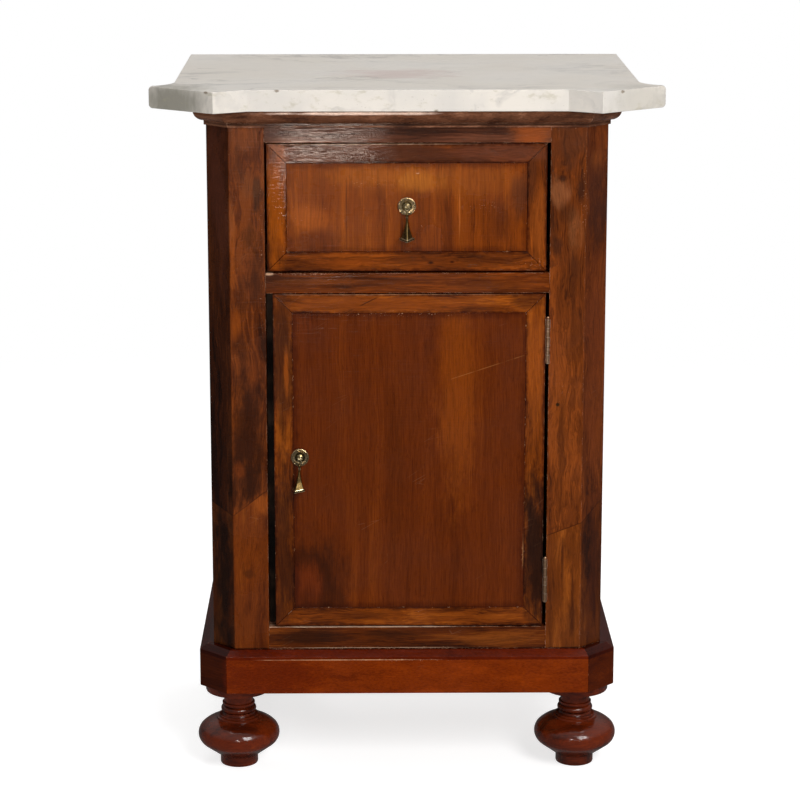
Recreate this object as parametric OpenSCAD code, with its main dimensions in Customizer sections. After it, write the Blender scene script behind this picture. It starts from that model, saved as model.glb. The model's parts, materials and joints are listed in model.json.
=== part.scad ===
// Bedside pot cupboard: marble top, one drawer over one door, canted corners, turned bun feet.
// Lengths are millimetres. The origin is on the floor under the middle of the marble, +Z is up,
// and the front looks towards -Y.

/* [Case] */
// Width of the case across its sides
case_w = 450; // [410:1:520]
// Depth of the case from its front face to its back
case_depth = 340; // [300:1:420]
// Leg of the 45 degree cant on each front corner
corner_cant = 26; // [18:1:32]
// Width of each post's front face
stile_w = 39.5; // [34:0.5:50]
// Depth of the front posts
post_depth = 44; // [38:1:60]
// Thickness of the side panels
side_t = 18; // [16:1:22]
// Thickness of the back panel
back_t = 8; // [5:1:12]
// Thickness of the front rails
rail_t = 22; // [18:1:28]
// Height of the rail under the door
bottom_rail_h = 27; // [24:1:40]
// Height of the door opening
door_opening_h = 392; // [350:1:440]
// Height of the rail between door and drawer
drawer_rail_h = 23; // [21:1:32]
// Height of the drawer opening
drawer_opening_h = 147; // [120:1:170]
// Height of the rail over the drawer
top_rail_h = 37; // [34:1:50]
// Thickness of the cupboard floor
floor_t = 12; // [8:1:16]
// Thickness of the dust board under the drawer
dust_board_t = 8; // [5:1:9]
// Depth of the grooves that hold the floor and the dust board
groove_depth = 6; // [3:0.5:8]
// Height of the rail behind the drawer, under the marble
rear_rail_h = 35; // [25:1:45]
// Thickness of the rear rail
rear_rail_t = 20; // [15:1:28]

/* [Joinery] */
// Length of the stub tenons on the rails
tenon_len = 12; // [8:1:18]
// Thickness of the tenons
tenon_t = 8; // [6:1:10]
// Shoulder above and below each tenon
tenon_shoulder = 4; // [3:0.5:6]
// Length of the tongue on each side panel's front edge
tongue_len = 8; // [5:1:12]
// Thickness of that tongue
tongue_t = 6; // [4:0.5:8]
// Width of the rebate that holds the back panel
rebate_w = 10; // [6:1:12]
// Clearance in joints that are glued
fit_gap = 0.1; // [0.05:0.05:0.2]

/* [Marble] */
// Thickness of the marble
marble_t = 24; // [18:1:34]
// Overhang of the middle of the front edge
marble_front_out = 17.7; // [15.5:0.1:26]
// Overhang along each side
marble_side_out = 36.5; // [20:0.5:45]
// Overhang behind the case
marble_back_out = 8; // [0:1:20]
// How far each ear's front point stands before the case
ear_front_out = 38; // [30:1:50]
// How far each ear's tip stands beyond the side of the case
ear_tip_out = 62.5; // [55:0.5:80]
// Distance of the ear's front point in from the case side
ear_point_in = 11.7; // [4:0.1:20]
// Distance of the ear's root in from the case side
ear_root_in = 48; // [36:1:70]
// Distance of the ear's tip behind the case front
ear_tip_back = 17; // [8:1:26]
// Length of the worn flat on the ear's tip
ear_tip_flat = 4; // [2:0.5:6]
// Distance behind the case front where the ear's hollow ends
ear_hollow_end = 60; // [52:1:80]

/* [Top moulding] */
// Height of the moulding under the marble
moulding_h = 19.6; // [18:0.1:30]
// How far the moulding stands out from the case
moulding_out = 14.5; // [12:0.1:15]
// How far its lower fillet stands out
moulding_fillet_out = 2.5; // [1:0.1:4]
// Height of its upper fillet
moulding_fillet_h = 2.6; // [1:0.1:4]

/* [Plinth] */
// Height of the plinth
plinth_h = 50; // [44:1:70]
// Thickness of the plinth boards
plinth_t = 24; // [20:1:28]
// How far the plinth stands before the case
plinth_front_out = 12; // [10:1:16]
// How far it stands out at each side
plinth_side_out = 16; // [11:1:18]
// Leg of the cant on its front corners
plinth_cant = 32; // [26:1:40]
// Height of the slope on its top edge
plinth_slope_h = 5.6; // [3:0.1:10]
// Width of that slope
plinth_slope_w = 9.5; // [6:0.1:10]

/* [Feet] */
// Height of the feet
foot_h = 100; // [90:1:120]
// Largest radius of the bun
bun_r = 47.6; // [42:0.1:50]
// Height of the bun's widest line above the floor
bun_z = 37; // [34:0.5:42]
// Height of the bun's curve above that line
bun_rise = 19.5; // [16:0.5:21]
// Radius of the bun's rounded edge
bun_edge_r = 14.5; // [12:0.5:15]
// How far the bun's upper curve reaches in from its widest line
bun_reach = 27; // [22:0.5:30]
// Radius of the pad under the bun
pad_r = 22; // [20:0.5:26]
// Height of the pad
pad_h = 11.5; // [8:0.5:13]
// Radius of the bead on the neck
bead_r = 20.6; // [19:0.1:24]
// Radius of the neck at its waist
neck_r = 17; // [15:0.5:18]
// Radius of the disc on top of the foot, under the plinth
disc_r = 38; // [34:0.5:40]
// Height of that disc
disc_h = 10; // [6:0.5:13]
// Distance of the front feet behind the plinth's front face
foot_inset_front = 47.5; // [44:0.5:56]
// Distance of the feet in from the plinth's sides
foot_inset_side = 43.5; // [40:0.5:56]
// Radius of the round tenon on top of each foot
foot_tenon_r = 12; // [8:0.5:14]
// Length of that tenon
foot_tenon_len = 30; // [20:1:36]
// Width of the corner blocks that hold the feet
block_w = 62; // [50:1:72]

/* [Drawer] */
// Gap between the drawer front and the left post
drawer_left_gap = 2.5; // [2:0.1:6]
// Gap between the drawer front and the right post
drawer_right_gap = 4.1; // [2:0.1:6]
// Gap over the drawer front
drawer_top_gap = 1; // [0.6:0.1:2]
// Gap under the drawer front
drawer_bottom_gap = 2.2; // [1:0.1:3.4]
// How far the drawer front lies behind the case front
drawer_recess = 0.8; // [0:0.1:2]
// Room between the drawer and the back panel
drawer_back_room = 21.2; // [4:0.1:60]
// Thickness of the drawer front and the door
front_t = 20; // [18:0.5:24]
// Thickness of the drawer's sides and back
drawer_side_t = 10; // [8:0.5:12]
// Height of the drawer's sides
drawer_side_h = 138; // [100:1:141]
// Thickness of the drawer's bottom
drawer_bottom_t = 6; // [4:0.5:8]
// Height of the bottom's underside above the lower edge of the sides
drawer_bottom_up = 10; // [6:0.5:14]
// Running gap between the drawer's sides and what it slides on
running_gap = 0.3; // [0.2:0.05:0.5]
// Number of dovetails in each corner
tail_count = 4; // [2:1:5]
// Length of the front dovetails
tail_len = 13; // [10:0.5:14]
// Width of the mitred border on drawer and door
border_w = 22; // [16:0.5:30]
// Thickness of the border strips
border_t = 2.6; // [2:0.1:4]
// How far the border stands before the field
border_proud = 0.4; // [0:0.1:0.8]
// Width of the joint lines between the border strips
mitre_gap = 0.2; // [0.1:0.05:0.4]

/* [Drawer support] */
// Thickness of the runners
runner_t = 12; // [9:1:14]
// Thickness of the kickers over the drawer
kicker_t = 12; // [8:1:18]
// How far runners and kickers reach in past the opening's edge
runner_in = 20; // [14:1:30]
// Width of the guides
guide_w = 20; // [12:1:30]
// Height of the guides
guide_h = 25; // [15:1:40]
// Play between the drawer and its guides
guide_play = 1; // [0.5:0.1:1.5]
// Width of the stop blocks
stop_w = 24; // [15:1:30]
// Height of the stop blocks
stop_h = 22; // [12:1:30]

/* [Door] */
// Gap between the door and the left post
door_left_gap = 8; // [4:0.5:10]
// Gap between the door and the right post
door_right_gap = 4; // [3:0.1:4.6]
// Gap over the door
door_top_gap = 1.1; // [0.6:0.1:2]
// Gap under the door
door_bottom_gap = 1.1; // [0.6:0.1:2]
// How far the door lies behind the case front
door_recess = 0.5; // [0:0.1:1.5]
// Width of the strip that stops the door
door_stop_w = 16; // [12:1:24]
// Depth of that strip
door_stop_t = 18; // [10:1:20]

/* [Hinges] */
// Length of each hinge
hinge_len = 50.6; // [40:0.1:64]
// Radius of the barrel
barrel_r = 2.3; // [2.1:0.05:2.5]
// Radius of the hinge pin
hinge_pin_r = 1; // [0.8:0.05:1.2]
// Radial clearance round the hinge pins and the pull's pivots
pivot_gap = 0.05; // [0.02:0.01:0.09]
// Thickness of the leaves
leaf_t = 1; // [0.8:0.05:1.3]
// Width of the leaves on the wood
leaf_w = 14; // [11:0.5:17]
// Distance from the door's ends to the middle of each hinge
hinge_inset = 54.3; // [40:0.1:80]
// Gap between neighbouring knuckles
knuckle_gap = 0.2; // [0.1:0.05:0.4]
// How far the barrel clears the front of the case
barrel_gap = 0.3; // [0.2:0.05:0.6]
// Radius of the round head on the pin
pin_head_r = 1.8; // [1.5:0.1:2.2]
// Distance between the screws of a leaf
screw_pitch = 16; // [12:1:18]
// Length of the hinge screws
screw_len = 13; // [8:1:16]
// Radius of the screw heads
screw_head_r = 2.4; // [2:0.1:2.8]
// Radius of the screws' shanks
screw_r = 1.2; // [0.9:0.1:1.5]

/* [Pulls] */
// Radius of the rosette
rosette_r = 10.2; // [9:0.1:12]
// Height of its rim
rosette_h = 2.6; // [2:0.1:3.4]
// Width of its rolled rim
rosette_rim = 2.2; // [1.4:0.1:2.4]
// Radius of the well round the post
rosette_well_r = 5.6; // [5:0.1:6.5]
// Height of the rosette's sloped ring where it meets the well
rosette_ring_low = 1.2; // [1:0.1:1.5]
// Thickness of the metal under the well
rosette_floor = 0.6; // [0.5:0.1:0.9]
// Radius of the post's domed boss
boss_r = 3.5; // [3:0.1:4]
// Height of the boss above the wood
boss_h = 3.9; // [3:0.1:4.2]
// How far the pivot stands before the wood
pivot_out = 9.8; // [9.6:0.1:13]
// Radius of the post's eye
eye_r = 2.6; // [2.2:0.1:3]
// Thickness of the eye
eye_t = 2.2; // [1.6:0.1:3]
// Radius of the pivot in the eye
pivot_r = 0.8; // [0.6:0.05:1]
// Radius of the post's shank
shank_r = 1.8; // [1.4:0.1:2.2]
// Width of the square nut behind the wood
nut_w = 8; // [7:0.5:10]
// Thickness of the nut
nut_t = 3; // [2:0.5:4]
// Thickness of the drop's two cheeks
cheek_t = 1.1; // [0.8:0.1:1.5]
// Radius of the cheeks round the pivot
cheek_r = 1.9; // [1.6:0.1:2.2]
// Half the depth of the cheeks under the pivot
cheek_half = 1.2; // [1:0.1:1.6]
// Length of the drop's neck
drop_neck = 6.2; // [5:0.1:9]
// Radius of the neck
drop_neck_r = 1.3; // [1.1:0.1:1.6]
// Radius of the ball on the neck
drop_ball_r = 2; // [1.6:0.1:2.4]
// Length of the flared part
drop_flare = 24; // [20:0.5:30]
// Half the width of the drop's square foot
drop_half = 6.3; // [5:0.1:6.3]
// Hollow of the flare's sides
drop_hollow = 1.2; // [0.6:0.1:1.6]
// Height of the lip round the foot
drop_lip = 2; // [1:0.1:2.5]
// How far the lip stands out from the flare
drop_ledge = 0.4; // [0.2:0.1:0.8]
// How far the foot dips from its side corners to its front and back corners
drop_dip = 2.2; // [1:0.1:3]
// Height of the drawer's pull above the middle of its front
drawer_pull_up = 1.5; // [-10:0.5:10]
// Height of the door's pull above the middle of the door
door_pull_up = 6; // [-40:1:40]
// Distance of the door's pull from the door's free edge
door_pull_in = 29.2; // [27:0.1:45]
// Lean of the door's pull, which hangs a little askew
door_pull_lean = 2.5; // [0:0.5:8]
// Turn of the door's drop about its own length, its front edge to the left
door_drop_turn = 32; // [0:1:45]

/* [Hidden] */
$fn = 64;
walnut = [0.36, 0.17, 0.07];
walnut_dark = [0.22, 0.1, 0.05];
mahogany = [0.38, 0.13, 0.05];
inner_wood = [0.72, 0.56, 0.38];
marble = [0.85, 0.83, 0.79];
brass = [0.72, 0.58, 0.32];

half_w = case_w / 2;
opening_half = half_w - corner_cant - stile_w;
inner_half = half_w - side_t;
back_front = case_depth - back_t;
cut = 1;                                  // how far a cutting shape runs past what it cuts

case_z = foot_h + plinth_h;
door_z = case_z + bottom_rail_h;          // bottom of the door opening
drawer_rail_z = door_z + door_opening_h;
drawer_z = drawer_rail_z + drawer_rail_h; // bottom of the drawer opening
top_rail_z = drawer_z + drawer_opening_h;
marble_z = top_rail_z + top_rail_h;
case_h = marble_z - case_z;

marble_depth = ear_front_out + case_depth + marble_back_out;
front_y = ear_front_out - marble_depth / 2;  // where the case's front face stands

front_top = top_rail_z - drawer_top_gap;
front_bottom = drawer_z + drawer_bottom_gap;
drawer_left = -opening_half + drawer_left_gap;
drawer_right = opening_half - drawer_right_gap;
drawer_len = back_front - drawer_recess - drawer_back_room;
drawer_inner_y = drawer_recess + front_t;
side_z = drawer_z + running_gap;
bottom_z = side_z + drawer_bottom_up;
bottom_in = drawer_side_t / 2;            // how far the drawer's bottom goes into its sides
tail_root = 6;
tail_flare = 3;
tail_margin = 6;                          // what stays plain above and below the dovetails

door_left = -opening_half + door_left_gap;
door_right = opening_half - door_right_gap;
door_low = door_z + door_bottom_gap;
door_high = drawer_rail_z - door_top_gap;

axis_x = door_right + leaf_t / 2 + door_right_gap / 2;
axis_y = -barrel_r - barrel_gap;
hinge_zs = [door_low + hinge_inset, door_high - hinge_inset];
knuckles = 5;
knuckle_len = hinge_len / knuckles;
leaf_start = barrel_gap;
screw_y = leaf_w / 2 + 1;
pin_collar_in = 0.4;                      // how far the collar stands in from the pin's head

cheek_x = eye_t / 2 + 0.25;               // inner face of a cheek, from the middle of the eye
clevis_half = cheek_x + cheek_t;
bridge_z = -eye_r - 0.5;
bridge_t = 1.6;
neck_z = bridge_z - bridge_t;             // where the drop's neck leaves the bridge
flare_top = 0.8 * drop_neck_r;            // half the width of the flare's upper end
flare_into_neck = 0.8;                    // how far that end reaches up round the neck
dome_r = 6;                               // radius of the dome on the post's boss
foot_x = half_w + plinth_side_out - foot_inset_side;
front_foot_y = foot_inset_front - plinth_front_out;
rear_foot_y = case_depth - foot_inset_front;
pad_edge = 1.5;                           // chamfer under a foot's pad
disc_edge = 2;                            // round on the disc on top of a foot

// Depths are measured back from the case's front face, and this puts a piece in the frame.
module placed() translate([0, front_y, 0]) children();

// A block between two opposite corners.
module block(low, high) translate(low) cube(high - low);

// ---------------------------------------------------------------- outlines in plan

// Plan of a box with two canted front corners, from the back left round to the back right.
function canted_plan(half, front, leg) = [
    [-half, case_depth], [-half, front + leg], [-half + leg, front],
    [half - leg, front], [half, front + leg], [half, case_depth]
];

case_plan = canted_plan(half_w, 0, corner_cant);
plinth_plan = canted_plan(half_w + plinth_side_out, -plinth_front_out, plinth_cant);

function run_dir(plan, i) = (plan[i + 1] - plan[i]) / norm(plan[i + 1] - plan[i]);
function run_out(plan, i) = [run_dir(plan, i)[1], -run_dir(plan, i)[0]];

// Corner i of a plan, moved outwards along its mitre by off.
function mitred(plan, i, off) =
    let (a = run_out(plan, max(i - 1, 0)), b = run_out(plan, min(i, len(plan) - 2)))
    plan[i] + (a + b) * off / (1 + a * b);

// One straight length of moulding or board along run i, cut to its mitres. The child is its
// section, with x outwards from the plan's line and y up.
module mitred_length(plan, i, inner, outer, z, h) {
    run = plan[i + 1] - plan[i];
    turn = atan2(run[1], run[0]);
    over = inner + outer;
    intersection() {
        translate([0, 0, z])
            linear_extrude(h)
                polygon([mitred(plan, i, -inner), mitred(plan, i + 1, -inner),
                         mitred(plan, i + 1, outer), mitred(plan, i, outer)]);
        translate([plan[i][0], plan[i][1], z])
            rotate([0, 0, turn])
                mirror([0, 1, 0])
                    translate([-over, 0, 0])
                        rotate([90, 0, 90])
                            linear_extrude(norm(run) + 2 * over)
                                children();
    }
}

// ---------------------------------------------------------------- marble

// Right half of the marble's plan: a short angled step out to the ear, its canted front edge and
// the hollow that leads back to the straight side.
module marble_half_plan() {
    side = half_w + marble_side_out;
    tip = half_w + ear_tip_out;
    tip_end = ear_tip_back + ear_tip_flat;
    across = tip - side;
    along = ear_hollow_end - tip_end;
    hollow_r = (across * across + along * along) / (2 * across);
    difference() {
        polygon([
            [0, -marble_front_out], [half_w - ear_root_in, -marble_front_out],
            [half_w - ear_point_in, -ear_front_out], [tip, ear_tip_back], [tip, tip_end],
            [tip, ear_hollow_end], [side, ear_hollow_end],
            [side, case_depth + marble_back_out], [0, case_depth + marble_back_out]
        ]);
        translate([side + hollow_r, ear_hollow_end]) circle(hollow_r, $fn = 128);
    }
}

module marble_top() {
    color(marble)
        placed()
            translate([0, 0, marble_z])
                linear_extrude(marble_t)
                    union() {
                        marble_half_plan();
                        mirror([1, 0]) marble_half_plan();
                    }
}

// ---------------------------------------------------------------- moulding under the marble

// Section of the moulding: a low fillet, a quarter round that swells outwards, and a top fillet.
module moulding_section() {
    round_r = moulding_out - moulding_fillet_out;
    shelf = moulding_h - moulding_fillet_h;
    square([moulding_fillet_out, moulding_h]);
    translate([0, shelf]) square([moulding_out, moulding_fillet_h]);
    intersection() {
        translate([moulding_fillet_out, shelf]) circle(round_r);
        translate([0, shelf - round_r]) square([moulding_out, round_r]);
    }
}

module top_moulding(i) {
    color(walnut_dark)
        placed()
            mitred_length(case_plan, i, 0, moulding_out, marble_z - moulding_h, moulding_h)
                moulding_section();
}

module top_moulding_left_side() top_moulding(0);
module top_moulding_left_cant() top_moulding(1);
module top_moulding_front() top_moulding(2);
module top_moulding_right_cant() top_moulding(3);
module top_moulding_right_side() top_moulding(4);

// ---------------------------------------------------------------- case

// Stub tenons at both ends of a rail, or the mortises for them when gap is given.
module rail_tenons(z, h, gap = 0) {
    reach = opening_half + tenon_len + gap;
    block([-reach, (rail_t - tenon_t) / 2 - gap, z + tenon_shoulder - gap],
          [reach, (rail_t + tenon_t) / 2 + gap, z + h - tenon_shoulder + gap]);
}

// Tongue on the front edge of the right side panel, or its groove.
module side_tongue(gap = 0) {
    middle = half_w - side_t / 2;
    block([middle - tongue_t / 2 - gap, post_depth - tongue_len - gap, case_z - cut * gap],
          [middle + tongue_t / 2 + gap, post_depth + cut * gap, marble_z + cut * gap]);
}

// The right front post: a canted block with mortises for the rails and a groove for the side.
module post_blank() {
    difference() {
        translate([0, 0, case_z])
            linear_extrude(case_h)
                polygon([
                    [opening_half, 0], [half_w - corner_cant, 0], [half_w, corner_cant],
                    [half_w, post_depth], [opening_half, post_depth]
                ]);
        rail_tenons(case_z, bottom_rail_h, fit_gap);
        rail_tenons(drawer_rail_z, drawer_rail_h, fit_gap);
        rail_tenons(top_rail_z, top_rail_h, fit_gap);
        side_tongue(fit_gap);
    }
}

module front_post_left() {
    color(walnut) placed() mirror([1, 0, 0]) post_blank();
}

module front_post_right() {
    color(walnut)
        placed()
            difference() {
                post_blank();
                for (z = hinge_zs)
                    block([opening_half - cut, -cut, z - hinge_len / 2],
                          [opening_half + leaf_t, leaf_w, z + hinge_len / 2]);
                case_screws(fit_gap);
            }
}

// The right side panel, with its tongue, grooves for floor and dust board, and back rebate.
module side_panel() {
    difference() {
        union() {
            block([inner_half, post_depth, case_z], [half_w, case_depth, marble_z]);
            side_tongue();
        }
        block([inner_half - cut, post_depth - cut, door_z - floor_t - fit_gap],
              [inner_half + groove_depth, back_front, door_z + fit_gap]);
        block([inner_half - cut, post_depth - cut, dust_z() - fit_gap],
              [inner_half + groove_depth, back_front, dust_z() + dust_board_t + fit_gap]);
        block([inner_half - cut, back_front, case_z - cut],
              [inner_half + rebate_w, case_depth + cut, marble_z + cut]);
    }
}

function dust_z() = drawer_z - runner_t - dust_board_t;

module side_panel_left() { color(walnut_dark) placed() mirror([1, 0, 0]) side_panel(); }
module side_panel_right() { color(walnut_dark) placed() side_panel(); }

module rail(z, h) {
    block([-opening_half, 0, z], [opening_half, rail_t, z + h]);
    rail_tenons(z, h);
}

module top_rail() { color(walnut) placed() rail(top_rail_z, top_rail_h); }
module drawer_rail() { color(walnut) placed() rail(drawer_rail_z, drawer_rail_h); }
module bottom_rail() { color(walnut) placed() rail(case_z, bottom_rail_h); }

module rear_top_rail() {
    color(inner_wood)
        placed()
            block([-inner_half, back_front - rear_rail_t, marble_z - rear_rail_h],
                  [inner_half, back_front, marble_z]);
}

module back_panel() {
    color(inner_wood)
        placed()
            block([-inner_half - rebate_w + fit_gap, back_front, case_z],
                  [inner_half + rebate_w - fit_gap, case_depth, marble_z]);
}

// A board between the posts that widens behind them into the grooves of the sides.
module grooved_board(z, t) {
    reach = inner_half + groove_depth - fit_gap;
    block([-opening_half + fit_gap, rail_t, z], [opening_half - fit_gap, post_depth + cut, z + t]);
    block([-reach, post_depth + fit_gap, z], [reach, back_front - fit_gap, z + t]);
}

module cupboard_floor() { color(inner_wood) placed() grooved_board(door_z - floor_t, floor_t); }
module dust_board() { color(inner_wood) placed() grooved_board(dust_z(), dust_board_t); }

// ---------------------------------------------------------------- what carries the drawer

// A strip along the right side panel, notched round the post.
module notched_strip(z, t, back) {
    inner = opening_half - runner_in;
    block([inner, rail_t, z], [opening_half - fit_gap, post_depth + cut, z + t]);
    block([inner, post_depth + fit_gap, z], [inner_half, back, z + t]);
}

module runner() notched_strip(drawer_z - runner_t, runner_t, back_front);
module kicker() notched_strip(top_rail_z, kicker_t, back_front - rear_rail_t);

// A guide beside the drawer, whose face stands inner from the middle of the case.
module guide(inner) {
    block([inner, post_depth, drawer_z], [inner + guide_w, back_front, drawer_z + guide_h]);
}

module drawer_runner_left() { color(inner_wood) placed() mirror([1, 0, 0]) runner(); }
module drawer_runner_right() { color(inner_wood) placed() runner(); }
module drawer_guide_left() {
    color(inner_wood) placed() mirror([1, 0, 0]) guide(guide_play - drawer_left);
}

module drawer_guide_right() { color(inner_wood) placed() guide(drawer_right + guide_play); }
module drawer_kicker_left() { color(inner_wood) placed() mirror([1, 0, 0]) kicker(); }
module drawer_kicker_right() { color(inner_wood) placed() kicker(); }

// Two blocks on the runners that the drawer's sides meet when it is shut.
module drawer_stops() {
    rear = drawer_recess + drawer_len + running_gap;
    color(inner_wood)
        placed()
            for (x = [drawer_left, drawer_right - stop_w])
                block([x, rear, drawer_z], [x + stop_w, back_front, drawer_z + stop_h]);
}

// A strip behind the left post's edge that the shut door rests against.
module door_stop() {
    y = door_recess + front_t + running_gap;
    color(inner_wood)
        placed()
            block([-opening_half, y, door_z], [-opening_half + door_stop_w, y + door_stop_t,
                  drawer_rail_z]);
}

// ---------------------------------------------------------------- plinth

// Section of a plinth board, with a slope on its top edge that leads in to the case.
module plinth_section() {
    polygon([
        [-plinth_t, 0], [0, 0], [0, plinth_h - plinth_slope_h],
        [-plinth_slope_w, plinth_h], [-plinth_t, plinth_h]
    ]);
}

module plinth_board(i) {
    color(mahogany)
        placed()
            mitred_length(plinth_plan, i, plinth_t, 0, foot_h, plinth_h)
                plinth_section();
}

module plinth_left_side() plinth_board(0);
module plinth_left_cant() plinth_board(1);
module plinth_front() plinth_board(2);
module plinth_right_cant() plinth_board(3);
module plinth_right_side() plinth_board(4);

module plinth_back() {
    reach = half_w + plinth_side_out - plinth_t;
    color(walnut_dark)
        placed()
            block([-reach, case_depth - plinth_t, foot_h], [reach, case_depth, case_z]);
}

// Corner blocks inside the plinth, bored from below for the feet.
module foot_blocks() {
    inside = [for (i = [0 : 5]) mitred(plinth_plan, i, -plinth_t)];
    color(inner_wood)
        placed()
            difference() {
                translate([0, 0, foot_h])
                    linear_extrude(plinth_h)
                        intersection() {
                            polygon(inside);
                            for (x = [-foot_x, foot_x], y = [front_foot_y, rear_foot_y])
                                translate([x - block_w / 2, y - block_w / 2])
                                    square([block_w, block_w / 2
                                           + min(block_w / 2, case_depth - plinth_t - y)]);
                        }
                at_feet(foot_h - cut)
                    cylinder(r = foot_tenon_r + fit_gap, h = foot_tenon_len + 2 + cut);
            }
}

module at_feet(z)
    for (x = [-foot_x, foot_x], y = [front_foot_y, rear_foot_y])
        translate([x, y, z]) children();

// ---------------------------------------------------------------- turned feet

module square_from(low, high) translate(low) square(high - low);

// Half section of pad and bun. The bun is an oval of two arcs that meet without a corner, and
// below its edge a straight cone runs in to the pad.
module bun_section() {
    edge = [bun_r - bun_edge_r, bun_z];
    top_r = (pow(bun_reach - bun_edge_r, 2) + bun_rise * bun_rise - bun_edge_r * bun_edge_r)
        / (2 * (bun_rise - bun_edge_r));
    top = [bun_r - bun_reach, bun_z + bun_rise - top_r];
    meet = top + (edge - top) / norm(edge - top) * top_r;
    heel = [pad_r + 1, pad_h];
    slope = atan2(edge[1] - heel[1], edge[0] - heel[0]) - asin(bun_edge_r / norm(edge - heel));
    cone = sqrt(pow(norm(edge - heel), 2) - bun_edge_r * bun_edge_r);
    translate(edge) circle(bun_edge_r);
    intersection() {
        translate(top) circle(top_r);
        polygon([top, meet, [meet[0], bun_z + 2 * bun_rise], [top[0], bun_z + 2 * bun_rise]]);
    }
    polygon([[0, pad_h], heel, heel + cone * [cos(slope), sin(slope)], edge, meet, top,
             [top[0], bun_z + bun_rise], [0, bun_z + bun_rise]]);
    polygon([[0, 0], [pad_r - pad_edge, 0], [pad_r, pad_edge], [pad_r, pad_h], [0, pad_h]]);
}

// Turnings on the bun, from its shoulder up: two fillets, a groove, a bead, a quirk, a ring, a
// cove and the disc. Their heights are shares of the neck, so that they follow the foot's height.
module neck_section() {
    shoulder_z = bun_z + bun_rise;
    disc_z = foot_h - disc_h;
    neck_h = disc_z - shoulder_z;
    bead_h = 0.12 * neck_h;
    bead_z = shoulder_z + 0.32 * neck_h;
    cove_r = 0.28 * neck_h;
    rings = [[bead_r + 5.4, 0.055], [bead_r + 2.4, 0.12], [bead_r - 2, 0.2], [bead_r - bead_h, 0.44],
             [neck_r + 0.5, 0.49], [neck_r + 2, 0.56], [neck_r, 1]];
    for (i = [0 : len(rings) - 1])
        square_from([0, i > 0 ? shoulder_z + rings[i - 1][1] * neck_h : shoulder_z - 1],
                    [rings[i][0], shoulder_z + rings[i][1] * neck_h]);
    translate([bead_r - bead_h, bead_z]) circle(bead_h);
    difference() {
        square_from([0, disc_z - cove_r], [neck_r + cove_r, disc_z]);
        translate([neck_r + cove_r, disc_z - cove_r]) circle(cove_r);
    }
    square_from([0, disc_z], [disc_r - disc_edge, foot_h]);
    square_from([0, disc_z + disc_edge], [disc_r, foot_h]);
    translate([disc_r - disc_edge, disc_z + disc_edge]) circle(disc_edge);
}

module foot_at(x, y) {
    color(mahogany)
        placed()
            translate([x, y, 0]) {
                rotate_extrude($fn = 96) {
                    bun_section();
                    neck_section();
                }
                translate([0, 0, foot_h - cut]) cylinder(r = foot_tenon_r, h = foot_tenon_len + cut);
            }
}

module foot_front_left() foot_at(-foot_x, front_foot_y);
module foot_front_right() foot_at(foot_x, front_foot_y);
module foot_rear_left() foot_at(-foot_x, rear_foot_y);
module foot_rear_right() foot_at(foot_x, rear_foot_y);

// ---------------------------------------------------------------- drawer

// A board whose edge is rebated all round, so that the border strips lie in it.
module bordered_board(x0, x1, z0, z1, y) {
    block([x0, y + border_t, z0], [x1, y + front_t, z1]);
    block([x0 + border_w + mitre_gap, y + border_proud, z0 + border_w + mitre_gap],
          [x1 - border_w - mitre_gap, y + border_t + cut, z1 - border_w - mitre_gap]);
}

// Four mitred strips round a front, parted by fine joint lines.
module border_strips(x0, x1, z0, z1, y) {
    g = mitre_gap / 2;
    translate([0, y + border_t, 0])
        rotate([90, 0, 0])
            linear_extrude(border_t) {
                polygon([[x0 + g, z0], [x1 - g, z0], [x1 - border_w - g, z0 + border_w],
                         [x0 + border_w + g, z0 + border_w]]);
                polygon([[x0 + g, z1], [x0 + border_w + g, z1 - border_w],
                         [x1 - border_w - g, z1 - border_w], [x1 - g, z1]]);
                polygon([[x0, z0 + g], [x0 + border_w, z0 + border_w + g],
                         [x0 + border_w, z1 - border_w - g], [x0, z1 - g]]);
                polygon([[x1, z0 + g], [x1, z1 - g], [x1 - border_w, z1 - border_w - g],
                         [x1 - border_w, z0 + border_w + g]]);
            }
}

// Dovetails on one end of a drawer side, wider at their tips. They start at y and run len, up or
// down the depth by the sign of len.
module tails(x0, x1, y, len, gap = 0) {
    low = bottom_z + drawer_bottom_t + tail_margin;
    pitch = (side_z + drawer_side_h - tail_margin - low) / tail_count;
    for (i = [0 : tail_count - 1]) {
        z = low + pitch * (i + 0.5);
        root = tail_root + gap;
        tip = tail_root + tail_flare + gap;
        translate([x0, 0, 0])
            rotate([90, 0, 90])
                linear_extrude(x1 - x0)
                    polygon([[y, z - root], [y + len, z - tip], [y + len, z + tip], [y, z + root]]);
    }
}

module drawer_sockets(y, len) {
    grow = len > 0 ? fit_gap : -fit_gap;
    tails(drawer_left - cut, drawer_left + drawer_side_t + fit_gap, y, len + grow, fit_gap);
    tails(drawer_right - drawer_side_t - fit_gap, drawer_right + cut, y, len + grow, fit_gap);
}

module drawer_front() {
    color(walnut)
        placed()
            difference() {
                bordered_board(drawer_left, drawer_right, front_bottom, front_top, drawer_recess);
                drawer_sockets(drawer_inner_y, -tail_len);
                drawer_floor(fit_gap);
                at_drawer_pull() pull_hole();
            }
}

module drawer_border() {
    color(walnut)
        placed()
            border_strips(drawer_left, drawer_right, front_bottom, front_top, drawer_recess);
}

// A drawer side between x0 and x1, with dovetails at both ends and a groove for the bottom.
module drawer_side(x0) {
    x1 = x0 + drawer_side_t;
    rear = drawer_recess + drawer_len;
    color(inner_wood)
        placed()
            difference() {
                union() {
                    block([x0, drawer_inner_y, side_z],
                          [x1, rear - drawer_side_t, side_z + drawer_side_h]);
                    tails(x0, x1, drawer_inner_y, -tail_len);
                    tails(x0, x1, rear - drawer_side_t, drawer_side_t);
                }
                drawer_floor(fit_gap);
            }
}

module drawer_side_left() drawer_side(drawer_left);
module drawer_side_right() drawer_side(drawer_right - drawer_side_t);

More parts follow.
